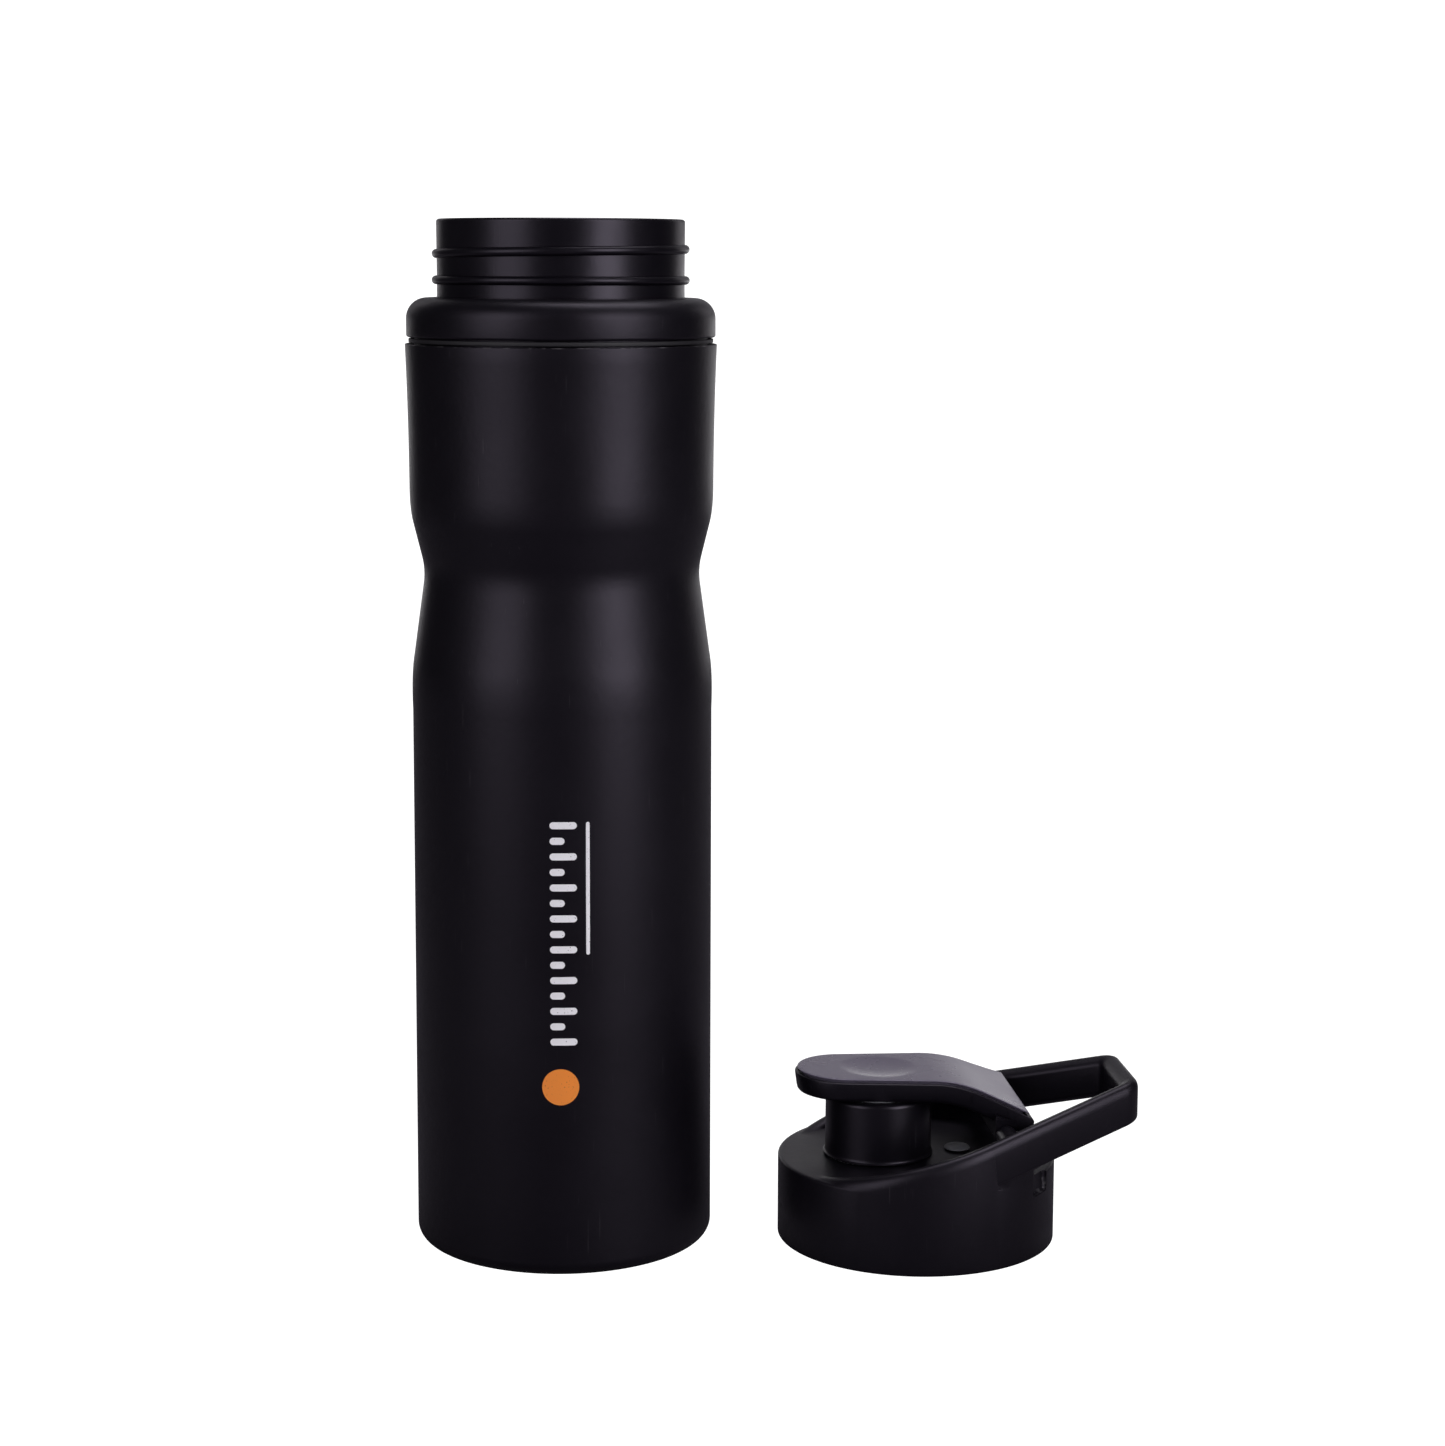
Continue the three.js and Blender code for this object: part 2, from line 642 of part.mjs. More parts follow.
// Satin inlay on top of the lid, with a shallow round thumb dish over the spout.
function lidPanel() {
  const top = LID_Z_AT_AXIS - Math.tan(LID_TILT) * SPOUT_X;
  const bowl = turned([
    [0, top - DISH_DEPTH],
    [DISH_R * 0.6, top - DISH_DEPTH * 0.64],
    [DISH_R, top],
    [DISH_R, top + 3],
    [0, top + 3],
  ], SMALL_ROUND).translate(SPOUT_X, 0, 0);
  const panel = lidSlab(lidOutline(1.2, 1.8), 0, PANEL_THICK).subtract(solid(bowl));
  return part("lid_panel", "satin", surface(panel));
}

// Soft plug under the lid: a flange in the lid's seat and a tapered stub in the spout's bore.
function lidPlug() {
  const flange = SPOUT_TOP_Z + GAP;
  const profile = [
    [0, 33.2],
    [6.5, 32.9],
    [8, 31.8],
    [8.6, 31.9],
    [9.4, 34.5],
    [9.9, flange],
    [PLUG_FLANGE_R, flange],
    [PLUG_FLANGE_R, PLUG_SEAT_Z - GAP],
    [0, PLUG_SEAT_Z - GAP],
  ];
  return part("lid_plug", "silicone", turned(profile, SMALL_ROUND).translate(SPOUT_X, 0, 0));
}

function hingePin() {
  return part("hinge_pin", "steel", crossBar(PIN_R, HINGE_X, HINGE_Z, -PIN_HALF, PIN_HALF));
}

const bottle = new THREE.Group();
bottle.add(
  outerShell(),
  baseDisc(),
  linerSupport(),
  innerLiner(),
  linerGasket(),
  neckRing(),
  shoulderCollar(),
  collarSeal(),
  mixingBall(),
);

const cap = new THREE.Group();
cap.position.set(CAP_X, CAP_Y, 0);
cap.rotation.z = CAP_TURN;
cap.add(
  capShell(),
  capInsert(),
  capGasket(),
  spout(),
  spoutSeal(),
  spoutLockRing(),
  ventValve(),
  flipLid(),
  lidPanel(),
  lidPlug(),
  hingePin(),
);

const group = new THREE.Group();
group.add(bottle, cap);

export default group;
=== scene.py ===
import json
import math

import bmesh
import bpy
from mathutils import Matrix, Vector


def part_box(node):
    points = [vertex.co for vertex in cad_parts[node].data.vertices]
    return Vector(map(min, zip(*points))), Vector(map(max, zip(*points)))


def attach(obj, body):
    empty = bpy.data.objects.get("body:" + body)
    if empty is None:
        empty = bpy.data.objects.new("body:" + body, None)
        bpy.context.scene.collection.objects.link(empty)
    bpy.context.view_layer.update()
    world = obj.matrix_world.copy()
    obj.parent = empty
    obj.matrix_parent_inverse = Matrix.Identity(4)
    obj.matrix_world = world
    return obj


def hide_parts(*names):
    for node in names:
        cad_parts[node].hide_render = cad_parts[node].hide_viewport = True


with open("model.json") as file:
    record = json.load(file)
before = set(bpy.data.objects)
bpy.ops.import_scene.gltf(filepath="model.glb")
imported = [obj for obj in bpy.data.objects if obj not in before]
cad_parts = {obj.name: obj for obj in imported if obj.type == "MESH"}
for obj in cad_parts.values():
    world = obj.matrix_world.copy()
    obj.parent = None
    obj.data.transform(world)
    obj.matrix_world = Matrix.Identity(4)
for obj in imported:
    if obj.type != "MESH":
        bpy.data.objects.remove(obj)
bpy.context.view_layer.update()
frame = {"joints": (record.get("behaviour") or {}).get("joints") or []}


# ---- The studio ----
# A pale table top in front of a backdrop with a bright low strip and a dim upper sheet. Two tall
# soft boxes stand beside the camera, a wide one hangs overhead, and two narrow ones light the rims
# from behind. The camera stands low, in front of the pair.
def node(tree, kind, values=None, **settings):
    """A new node, its settings, and its inputs, which are plain values or sockets to link."""
    new = tree.nodes.new(kind)
    for name, value in settings.items():
        setattr(new, name, value)
    for key, value in (values or {}).items():
        if isinstance(value, bpy.types.NodeSocket):
            tree.links.new(value, new.inputs[key])
        else:
            new.inputs[key].default_value = value
    return new


def blank_tree(owner):
    owner.use_nodes = True
    owner.node_tree.nodes.clear()
    return owner.node_tree


MM = 0.001
scene = bpy.context.scene
CAMERA_AT = Vector((39.165, -718.14, 241.69)) * MM
CAMERA_DOWN = math.radians(7.587)
CAMERA_ROLL = math.radians(0.19)
CAMERA_LENS = 73.7
CAMERA_SENSOR = 36
CAMERA_SHIFT_Y = -0.0483

camera_data = bpy.data.cameras.new("camera")
camera_data.lens = CAMERA_LENS
camera_data.sensor_width = CAMERA_SENSOR
camera_data.shift_y = CAMERA_SHIFT_Y
camera_data.clip_start = 0.05
camera = bpy.data.objects.new("camera", camera_data)
camera.matrix_world = (
    Matrix.Translation(CAMERA_AT)
    @ Matrix.Rotation(math.pi / 2 - CAMERA_DOWN, 4, "X")
    @ Matrix.Rotation(CAMERA_ROLL, 4, "Z")
)
scene.collection.objects.link(camera)
scene.camera = camera
scene.view_settings.view_transform = "Standard"

TABLE_Z = -0.0002
TABLE_HALF = 6.0
TABLE_COLOUR = (0.19, 0.18, 0.2)
BACKDROP_Y = 1.5
BACKDROP_HALF = 0.8
BACKDROP_TOP = 1.3
BACKDROP_BREAK = 0.24
BACKDROP_COLOUR = (0.63, 0.63, 0.63)
LOW_GLOW, HIGH_GLOW = 1.7, 0.09
SEEN_WHITE, SEEN_SHARE = 1.3, 0.95
ROOM_COLOUR, ROOM_GLOW = (0.9, 0.86, 1.0), 0.045
LIGHT_AIM = Vector((0.04, 0, 0.13))


def stage_sheet(name, place, colour, glow):
    """A flat sheet of the studio: white to the camera, of its own colour and glow to the object."""
    form = bmesh.new()
    bmesh.ops.create_grid(form, x_segments=1, y_segments=1, size=1, matrix=place)
    mesh = bpy.data.meshes.new(name)
    form.to_mesh(mesh)
    form.free()
    sheet = bpy.data.objects.new(name, mesh)
    scene.collection.objects.link(sheet)
    material = bpy.data.materials.new(name)
    tree = blank_tree(material)
    seen = node(tree, "ShaderNodeLightPath").outputs["Is Camera Ray"]
    pale = node(tree, "ShaderNodeBsdfDiffuse", {"Color": (*colour, 1)})
    lit = node(tree, "ShaderNodeEmission", {"Color": (*colour, 1), "Strength": glow})
    both = node(tree, "ShaderNodeAddShader", {0: pale.outputs[0], 1: lit.outputs[0]})
    white = node(tree, "ShaderNodeEmission", {"Color": (1, 1, 1, 1), "Strength": SEEN_WHITE})
    shown = {0: SEEN_SHARE, 1: both.outputs[0], 2: white.outputs[0]}
    soft = node(tree, "ShaderNodeMixShader", shown)
    picked = node(tree, "ShaderNodeMixShader", {0: seen, 1: both.outputs[0], 2: soft.outputs[0]})
    node(tree, "ShaderNodeOutputMaterial", {"Surface": picked.outputs[0]})
    mesh.materials.append(material)


stage_sheet(
    "table_top", Matrix.Translation((0, 0, TABLE_Z)) @ Matrix.Scale(TABLE_HALF, 4), TABLE_COLOUR, 0,
)
for sheet_name, low, high, glow in (
    ("backdrop_low", TABLE_Z, BACKDROP_BREAK, LOW_GLOW),
    ("backdrop_high", BACKDROP_BREAK, BACKDROP_TOP, HIGH_GLOW),
):
    standing = (
        Matrix.Translation((0, BACKDROP_Y, (low + high) / 2))
        @ Matrix.Rotation(math.pi / 2, 4, "X")
        @ Matrix.Diagonal((BACKDROP_HALF, (high - low) / 2, 1, 1))
    )
    stage_sheet(sheet_name, standing, BACKDROP_COLOUR, glow)

world = bpy.data.worlds.new("studio")
scene.world = world
tree = blank_tree(world)
seen = node(tree, "ShaderNodeLightPath").outputs["Is Camera Ray"]
room = node(tree, "ShaderNodeBackground", {"Color": (*ROOM_COLOUR, 1), "Strength": ROOM_GLOW})
white = node(tree, "ShaderNodeBackground", {"Color": (1, 1, 1, 1), "Strength": 1.0})
mixed = node(tree, "ShaderNodeMixShader", {0: seen, 1: room.outputs[0], 2: white.outputs[0]})
node(tree, "ShaderNodeOutputWorld", {"Surface": mixed.outputs[0]})

# Each light stands on a bearing from the object: 0 is towards the camera, 90 to the camera's right.
for name, bearing, distance, height, width, length, power, colour in (
    ("soft_box_right", 46, 1.3, 0.25, 0.66, 1.5, 16, (0.97, 0.95, 1.0)),
    ("soft_box_left", -46, 1.3, 0.25, 0.8, 1.5, 8.8, (0.97, 0.94, 1.0)),
    ("soft_box_top", 150, 0.4, 1.45, 1.0, 0.8, 11, (0.96, 0.93, 1.0)),
    ("rim_box_right", 146, 1.3, 0.15, 0.3, 0.9, 0.6, (1.0, 0.95, 1.0)),
    ("rim_box_left", -150, 1.3, 0.1, 0.3, 1.2, 0.5, (1.0, 0.95, 1.0)),
):
    data = bpy.data.lights.new(name, "AREA")
    data.shape = "RECTANGLE"
    data.size = width
    data.size_y = length
    data.energy = power
    data.color = colour
    light = bpy.data.objects.new(name, data)
    angle = math.radians(bearing)
    away = Vector((math.sin(angle) * distance, -math.cos(angle) * distance, height))
    facing = (-away).to_track_quat("-Z", "Y").to_matrix().to_4x4()
    light.matrix_world = Matrix.Translation(LIGHT_AIM + away) @ facing
    light.visible_camera = False
    scene.collection.objects.link(light)


# ---- Steel shell ----
# The outer wall of the bottle: a thin steel tube, spun in to a waist that the hand closes round
# and turned under at the foot. It is powder coated in satin black after forming.
def arc(centre_r, centre_z, radius, start, end, steps):
    """Points along an arc of a profile, angles in degrees."""
    angles = [math.radians(start + (end - start) * i / steps) for i in range(steps + 1)]
    return [(centre_r + radius * math.cos(a), centre_z + radius * math.sin(a)) for a in angles]


def bend(start, control, end, steps=8):
    """Points along a quadratic curve of a profile."""
    points = []
    for i in range(steps + 1):
        t = i / steps
        points.append(tuple(
            (1 - t) ** 2 * a + 2 * t * (1 - t) * b + t * t * c
            for a, b, c in zip(start, control, end)
        ))
    return points


def turned(profile, steps=160, closed=False):
    """A profile of (radius, height) points turned about Z."""
    form = bmesh.new()
    points = [form.verts.new((radius, 0, height)) for radius, height in profile]
    pairs = list(zip(points, points[1:]))
    if closed:
        pairs.append((points[-1], points[0]))
    edges = [form.edges.new(pair) for pair in pairs]
    bmesh.ops.spin(
        form, geom=points + edges, cent=(0, 0, 0), axis=(0, 0, 1), angle=2 * math.pi,
        steps=steps, use_merge=True,
    )
    bmesh.ops.remove_doubles(form, verts=form.verts, dist=1e-4)
    bmesh.ops.recalc_face_normals(form, faces=form.faces)
    return form


def ring(inner, outer, bottom, top, steps=160):
    return turned([(inner, bottom), (outer, bottom), (outer, top), (inner, top)], steps, True)


def softened(form, width, segments=3, angle=28):
    """Rounds every edge sharper than an angle, and marks the new faces as edges that wear."""
    worn = form.faces.layers.float.get("worn_edge") or form.faces.layers.float.new("worn_edge")
    sharp = [
        edge for edge in form.edges
        if len(edge.link_faces) == 2 and edge.calc_face_angle(0) > math.radians(angle)
    ]
    rounded = bmesh.ops.bevel(
        form, geom=sharp, offset=width, offset_type="OFFSET", segments=segments,
        profile=0.5, affect="EDGES", material=-1, clamp_overlap=True,
    )
    for face in rounded["faces"]:
        face[worn] = 1
    return form


def made(name, form, *materials, crease=42):
    """The finished piece: its form in metres, smooth but for its creases, with its materials."""
    form.transform(Matrix.Scale(MM, 4))
    for face in form.faces:
        face.smooth = True
    for edge in form.edges:
        edge.smooth = len(edge.link_faces) == 2 and edge.calc_face_angle(0) < math.radians(crease)
    mesh = bpy.data.meshes.new(name)
    form.to_mesh(mesh)
    form.free()
    for material in materials:
        mesh.materials.append(material)
    piece = bpy.data.objects.new(name, mesh)
    scene.collection.objects.link(piece)
    return piece


def new_group(name, inputs, outputs):
    """An empty shader group with its sockets, its tree and its two ends."""
    group = bpy.data.node_groups.new(name, "ShaderNodeTree")
    for label, kind, value in inputs:
        socket = group.interface.new_socket(label, in_out="INPUT", socket_type=kind)
        if value is not None:
            socket.default_value = value
    for label, kind in outputs:
        group.interface.new_socket(label, in_out="OUTPUT", socket_type=kind)
    return group, group.nodes.new("NodeGroupInput"), group.nodes.new("NodeGroupOutput")


def scaled_noise(tree, vector, scale, detail=2.0, roughness=0.5):
    values = {"Vector": vector, "Scale": scale, "Detail": detail, "Roughness": roughness}
    return node(tree, "ShaderNodeTexNoise", values).outputs["Fac"]


def remapped(tree, value, low, high, to_low=0.0, to_high=1.0):
    values = {0: value, 1: low, 2: high, 3: to_low, 4: to_high}
    return node(tree, "ShaderNodeMapRange", values).outputs[0]


def maths(tree, operation, first, second):
    return node(tree, "ShaderNodeMath", {0: first, 1: second}, operation=operation).outputs[0]


# Handling marks that every hard surface picks up: long faint rubs, hair scratches that run in
# two directions, and bright spots along rounded edges.
marks, ends_in, ends_out = new_group(
    "handling_marks",
    [("Vector", "NodeSocketVector", None), ("Amount", "NodeSocketFloat", 0.5)],
    [("Scratch", "NodeSocketFloat"), ("Rub", "NodeSocketFloat"), ("Edge", "NodeSocketFloat")],
)
scratch = None
for turn, stretch in ((0.35, 26.0), (-0.8, 34.0)):
    leaning = node(marks, "ShaderNodeMapping", {
        "Vector": ends_in.outputs["Vector"], "Rotation": (turn, turn * 0.6, turn * 2.1),
        "Scale": (stretch, stretch, 1.0),
    })
    fine = scaled_noise(marks, leaning.outputs[0], 70.0, 1.0, 0.4)
    patch = scaled_noise(marks, ends_in.outputs["Vector"], 48.0 + stretch, 1.0)
    line = remapped(marks, fine, 0.74, 0.79)
    line = maths(marks, "MULTIPLY", line, remapped(marks, patch, 0.5, 0.66))
    scratch = line if scratch is None else maths(marks, "MAXIMUM", scratch, line)
scratch = maths(marks, "MULTIPLY", scratch, ends_in.outputs["Amount"])
rub = remapped(marks, scaled_noise(marks, ends_in.outputs["Vector"], 32.0, 4.0, 0.6), 0.4, 0.75)
edge = node(marks, "ShaderNodeAttribute", attribute_name="worn_edge").outputs["Fac"]
spots = remapped(marks, scaled_noise(marks, ends_in.outputs["Vector"], 420.0, 3.0, 0.6), 0.5, 0.66)
edge = maths(marks, "MULTIPLY", maths(marks, "MULTIPLY", edge, spots), ends_in.outputs["Amount"])
marks.links.new(scratch, ends_out.inputs["Scratch"])
marks.links.new(rub, ends_out.inputs["Rub"])
marks.links.new(edge, ends_out.inputs["Edge"])

# Relief of a surface, for bump: broad flow waves under a fine grain.
relief, ends_in, ends_out = new_group(
    "surface_relief",
    [("Vector", "NodeSocketVector", None), ("Wave Scale", "NodeSocketFloat", 400.0),
     ("Grain Scale", "NodeSocketFloat", 2500.0), ("Grain Share", "NodeSocketFloat", 0.5)],
    [("Height", "NodeSocketFloat"), ("Grain", "NodeSocketFloat")],
)
wave = node(relief, "ShaderNodeTexNoise", {
    "Vector": ends_in.outputs["Vector"], "Scale": ends_in.outputs["Wave Scale"],
    "Detail": 1.5, "Roughness": 0.45,
}).outputs["Fac"]
grain = node(relief, "ShaderNodeTexNoise", {
    "Vector": ends_in.outputs["Vector"], "Scale": ends_in.outputs["Grain Scale"],
    "Detail": 3.0, "Roughness": 0.6,
}).outputs["Fac"]
share = maths(relief, "MULTIPLY", grain, ends_in.outputs["Grain Share"])
relief.links.new(maths(relief, "ADD", wave, share), ends_out.inputs["Height"])
relief.links.new(grain, ends_out.inputs["Grain"])


def finish(name, colour, tint, roughness, spread, relief_values, depth, marked, bare, **sockets):
    """A hard coated or moulded finish.

    The colour drifts towards a tint, the roughness by its spread, and the relief (wave scale, grain
    scale, share of grain) has a depth in metres. marked is how worn it is, and bare the colour
    that wear shows. sockets are further constant values of the surface shader.
    """
    material = bpy.data.materials.new(name)
    tree = blank_tree(material)
    place = node(tree, "ShaderNodeTexCoord").outputs["Object"]
    wear = node(tree, "ShaderNodeGroup", node_tree=marks)
    tree.links.new(place, wear.inputs["Vector"])
    wear.inputs["Amount"].default_value = marked
    skin = node(tree, "ShaderNodeGroup", node_tree=relief)
    tree.links.new(place, skin.inputs["Vector"])
    for label, value in zip(("Wave Scale", "Grain Scale", "Grain Share"), relief_values):
        skin.inputs[label].default_value = value

    def blended(factor, first, second):
        mix = node(tree, "ShaderNodeMix", {0: factor}, data_type="RGBA")
        for key, value in ((6, first), (7, second)):
            if isinstance(value, bpy.types.NodeSocket):
                tree.links.new(value, mix.inputs[key])
            else:
                mix.inputs[key].default_value = (*value, 1)
        return mix.outputs[2]

    base = blended(wear.outputs["Rub"], colour, tint)
    speckle = remapped(tree, skin.outputs["Grain"], 0.35, 0.7, 0.0, 0.35)
    base = blended(speckle, base, tint)
    base = blended(maths(tree, "MULTIPLY", wear.outputs["Scratch"], 0.25), base, bare)
    base = blended(wear.outputs["Edge"], base, bare)
    gloss = remapped(tree, wear.outputs["Rub"], 0.0, 1.0, roughness - spread, roughness + spread)
    gloss = maths(tree, "ADD", gloss, maths(tree, "MULTIPLY", wear.outputs["Scratch"], 0.18))
    bump = node(tree, "ShaderNodeBump", {
        "Strength": 1.0, "Distance": depth, "Height": skin.outputs["Height"],
    })
    surface = node(tree, "ShaderNodeBsdfPrincipled", {
        "Base Color": base, "Roughness": gloss, "Normal": bump.outputs[0], **sockets,
    })
    node(tree, "ShaderNodeOutputMaterial", {"Surface": surface.outputs[0]})
    return material


# The black finishes reflect weakly, with a faint violet cast.
VIOLET_SHEEN = {"Specular Tint": (0.92, 0.84, 1.0, 1), "Specular IOR Level": 0.31}

FOOT_R = 31.0
FOOT_ROUNDING = 3.6
SHELL_WALL = 0.8
STRAIGHT_TOP = 132.5
WAIST_R = 33.15
WAIST_Z = 166.8
shell_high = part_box("outer_shell")[1]
SHELL_TOP_R = shell_high.x / MM
SHELL_TOP_Z = shell_high.z / MM
BODY_R = SHELL_TOP_R - 1.1

powder_coat = finish(
    "black_powder_coat", colour=(0.002, 0.0016, 0.0029), tint=(0.003, 0.0025, 0.0042),
    roughness=0.43, spread=0.035, relief_values=(620.0, 4200.0, 0.5), depth=0.000022,
    marked=0.45, bare=(0.16, 0.155, 0.16), **VIOLET_SHEEN,
)


def shell_side(inset):
    """The shell's outer side from the foot's rounding up to the rim, moved inwards."""
    side = [
        (BODY_R, FOOT_ROUNDING),
        *bend((BODY_R, STRAIGHT_TOP), (BODY_R + 0.35, 141.5), (BODY_R - 0.55, 146.5)),
        *bend((WAIST_R + 0.5, WAIST_Z - 3.6), (WAIST_R, WAIST_Z), (WAIST_R + 0.8, WAIST_Z + 3.2)),
        *bend((BODY_R - 0.5, 178.3), (BODY_R + 0.25, 181.3), (BODY_R + 0.32, 186.3)),
        *bend((BODY_R + 0.32, 186.3), (BODY_R + 0.4, 205.3), (SHELL_TOP_R, SHELL_TOP_Z))[1:],
    ]
    return [(radius - inset, height) for radius, height in side]


corner_r = BODY_R - FOOT_ROUNDING
form = turned([
    (FOOT_R, 0),
    *arc(corner_r, FOOT_ROUNDING, FOOT_ROUNDING, -90, 0, 10),
    *shell_side(0)[1:],
    *reversed(shell_side(SHELL_WALL)),
    *arc(corner_r, FOOT_ROUNDING, FOOT_ROUNDING - SHELL_WALL, 0, -90, 8)[1:],
    (FOOT_R, SHELL_WALL),
], closed=True)
shell = made("steel_shell", softened(form, 0.22, angle=45), powder_coat)
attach(shell, "bottle")
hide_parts("outer_shell")


# ---- Printed scale ----
# A generic mark printed on the coating in place of any name: a ladder of white ticks, a white
# pinstripe beside it and an orange dot at the foot of the ladder, in pad-printing ink.
INK_LIFT, INK_SINK = 0.05, 0.03
PINHOLE_COLOUR = (0.03, 0.03, 0.035)
STRIP_WIDTH = 0.7
PRINT_BEARING = 3.1
TICK_COUNT = 15
TICK_LOW, TICK_HIGH = 58.0, 110.0
TICK_LENGTH, TICK_WIDTH, SHORT_TICK = 6.4, 1.7, 0.55
STRIPE_X, STRIPE_LOW, STRIPE_HIGH, STRIPE_WIDTH = 5.8, 79.0, 110.8, 0.9
DOT_X, DOT_Z, DOT_R = -0.8, 47.0, 4.4


def ink(name, colour):
    """Printing ink: nearly opaque, slightly uneven, with pinholes that show the coating."""
    material = bpy.data.materials.new(name)
    tree = blank_tree(material)
    place = node(tree, "ShaderNodeTexCoord").outputs["Object"]
    holes = remapped(tree, scaled_noise(tree, place, 2600.0, 2.0), 0.66, 0.74)
    cloud = remapped(tree, scaled_noise(tree, place, 180.0, 3.0), 0.3, 0.7, 0.0, 0.12)
    shade = node(tree, "ShaderNodeMix", {0: cloud}, data_type="RGBA")
    shade.inputs[6].default_value = (*colour, 1)
    shade.inputs[7].default_value = (*(part * 0.7 for part in colour), 1)
    mixed = node(tree, "ShaderNodeMix", {0: holes}, data_type="RGBA")
    tree.links.new(shade.outputs[2], mixed.inputs[6])
    mixed.inputs[7].default_value = (*PINHOLE_COLOUR, 1)
    gloss = remapped(tree, cloud, 0.0, 0.12, 0.4, 0.52)
    bump = node(tree, "ShaderNodeBump", {
        "Distance": 0.00001, "Height": scaled_noise(tree, place, 1500.0, 2.0),
    })
    surface = node(tree, "ShaderNodeBsdfPrincipled", {
        "Base Color": mixed.outputs[2], "Roughness": gloss, "Normal": bump.outputs[0],
    })
    node(tree, "ShaderNodeOutputMaterial", {"Surface": surface.outputs[0]})
    return material


def capsule(form, x, z, width, height, slot=0):
    """A flat shape with round ends, standing in the XZ plane and facing the camera's side."""
    radius = min(width, height) / 2
    spot = bmesh.ops.create_circle(form, cap_ends=True, radius=radius, segments=40)["verts"]
    for vert in spot:
        across = math.copysign(width / 2 - radius, vert.co.x) if abs(vert.co.x) > 1e-6 else 0
        along = math.copysign(height / 2 - radius, vert.co.y) if abs(vert.co.y) > 1e-6 else 0
        vert.co = Vector((x + vert.co.x + across, 0, z + vert.co.y + along))
    for face in {face for vert in spot for face in vert.link_faces}:
        face.material_index = slot


def wrapped(form, radius, bearing):
    """Cuts a flat form into narrow strips and lays it round the cylinder as a thin film."""
    low = min(vert.co.x for vert in form.verts)
    high = max(vert.co.x for vert in form.verts)
    for i in range(1, int((high - low) / STRIP_WIDTH) + 1):
        bmesh.ops.bisect_plane(
            form, geom=form.verts[:] + form.edges[:] + form.faces[:], dist=1e-5,
            plane_co=(low + i * STRIP_WIDTH, 0, 0), plane_no=(1, 0, 0),
        )
    film = bmesh.ops.extrude_face_region(form, geom=form.faces[:], use_keep_orig=True)
    for vert in (item for item in film["geom"] if isinstance(item, bmesh.types.BMVert)):
        vert.co.y = INK_LIFT + INK_SINK
    for vert in form.verts:
        angle = vert.co.x / radius + math.radians(bearing)
        away = radius + vert.co.y - INK_SINK
        vert.co = Vector((math.sin(angle) * away, -math.cos(angle) * away, vert.co.z))
    bmesh.ops.recalc_face_normals(form, faces=form.faces)
    return form


form = bmesh.new()
for i in range(TICK_COUNT):
    height = TICK_LOW + (TICK_HIGH - TICK_LOW) * i / (TICK_COUNT - 1)
    length = TICK_LENGTH if i % 2 == 0 else TICK_LENGTH * SHORT_TICK
    capsule(form, (length - TICK_LENGTH) / 2, height, length, TICK_WIDTH)
capsule(form, STRIPE_X, (STRIPE_LOW + STRIPE_HIGH) / 2, STRIPE_WIDTH, STRIPE_HIGH - STRIPE_LOW)
capsule(form, DOT_X, DOT_Z, 2 * DOT_R, 2 * DOT_R, slot=1)
white_ink = ink("white_ink", (0.96, 0.96, 0.97))
orange_ink = ink("orange_ink", (0.98, 0.3, 0.045))
mark = made("printed_scale", wrapped(form, BODY_R, PRINT_BEARING), white_ink, orange_ink)
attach(mark, "bottle")


# ---- Base disc ----
# The pressed steel disc that closes the foot, coated with the shell and crimped inside the turned
# edge. A shallow round groove stiffens it and keeps its middle off the table.
form = turned([
    (0, 0), (22, 0), (22.6, 0.4), (26.4, 0.4), (27, 0), (30.7, 0), (30.7, 0.9), (27, 0.9),
    (26.2, 1.3), (22.8, 1.3), (22, 0.9), (0, 0.9),
])
base = made("pressed_base", softened(form, 0.12, angle=20), powder_coat)
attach(base, "bottle")
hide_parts("base_disc")


# ---- Liner, its support and its gasket ----
# The liner is a blow-moulded cup in cloudy natural plastic that holds the drink. A soft ring
# centres it over the base, and its flange is squeezed against a gasket under the neck.
def soft_finish(name, colour, tint, roughness, grain_scale, depth, **sockets):
    """A soft or cloudy moulded finish: drifting colour and a fine even grain."""
    material = bpy.data.materials.new(name)
    tree = blank_tree(material)
    place = node(tree, "ShaderNodeTexCoord").outputs["Object"]
    drift = remapped(tree, scaled_noise(tree, place, 38.0, 4.0, 0.6), 0.35, 0.7)
    shade = node(tree, "ShaderNodeMix", {0: drift}, data_type="RGBA")
    shade.inputs[6].default_value = (*colour, 1)
    shade.inputs[7].default_value = (*tint, 1)
    gloss = remapped(tree, drift, 0.0, 1.0, roughness - 0.05, roughness + 0.07)
    bump = node(tree, "ShaderNodeBump", {
        "Distance": depth, "Height": scaled_noise(tree, place, grain_scale, 3.0, 0.6),
    })
    surface = node(tree, "ShaderNodeBsdfPrincipled", {
        "Base Color": shade.outputs[2], "Roughness": gloss, "Normal": bump.outputs[0], **sockets,
    })
    node(tree, "ShaderNodeOutputMaterial", {"Surface": surface.outputs[0]})
    return material


natural_plastic = soft_finish(
    "natural_plastic", colour=(0.70, 0.73, 0.75), tint=(0.62, 0.65, 0.68), roughness=0.38,
    grain_scale=900.0, depth=0.00003,
    **{"Subsurface Weight": 0.35, "Subsurface Radius": (1.0, 1.0, 1.0), "Subsurface Scale": 0.002},
)
grey_silicone = soft_finish(
    "grey_silicone", colour=(0.20, 0.205, 0.22), tint=(0.24, 0.245, 0.26), roughness=0.62,
    grain_scale=2600.0, depth=0.00002,
    **{"Sheen Weight": 0.15, "Sheen Roughness": 0.4},
)

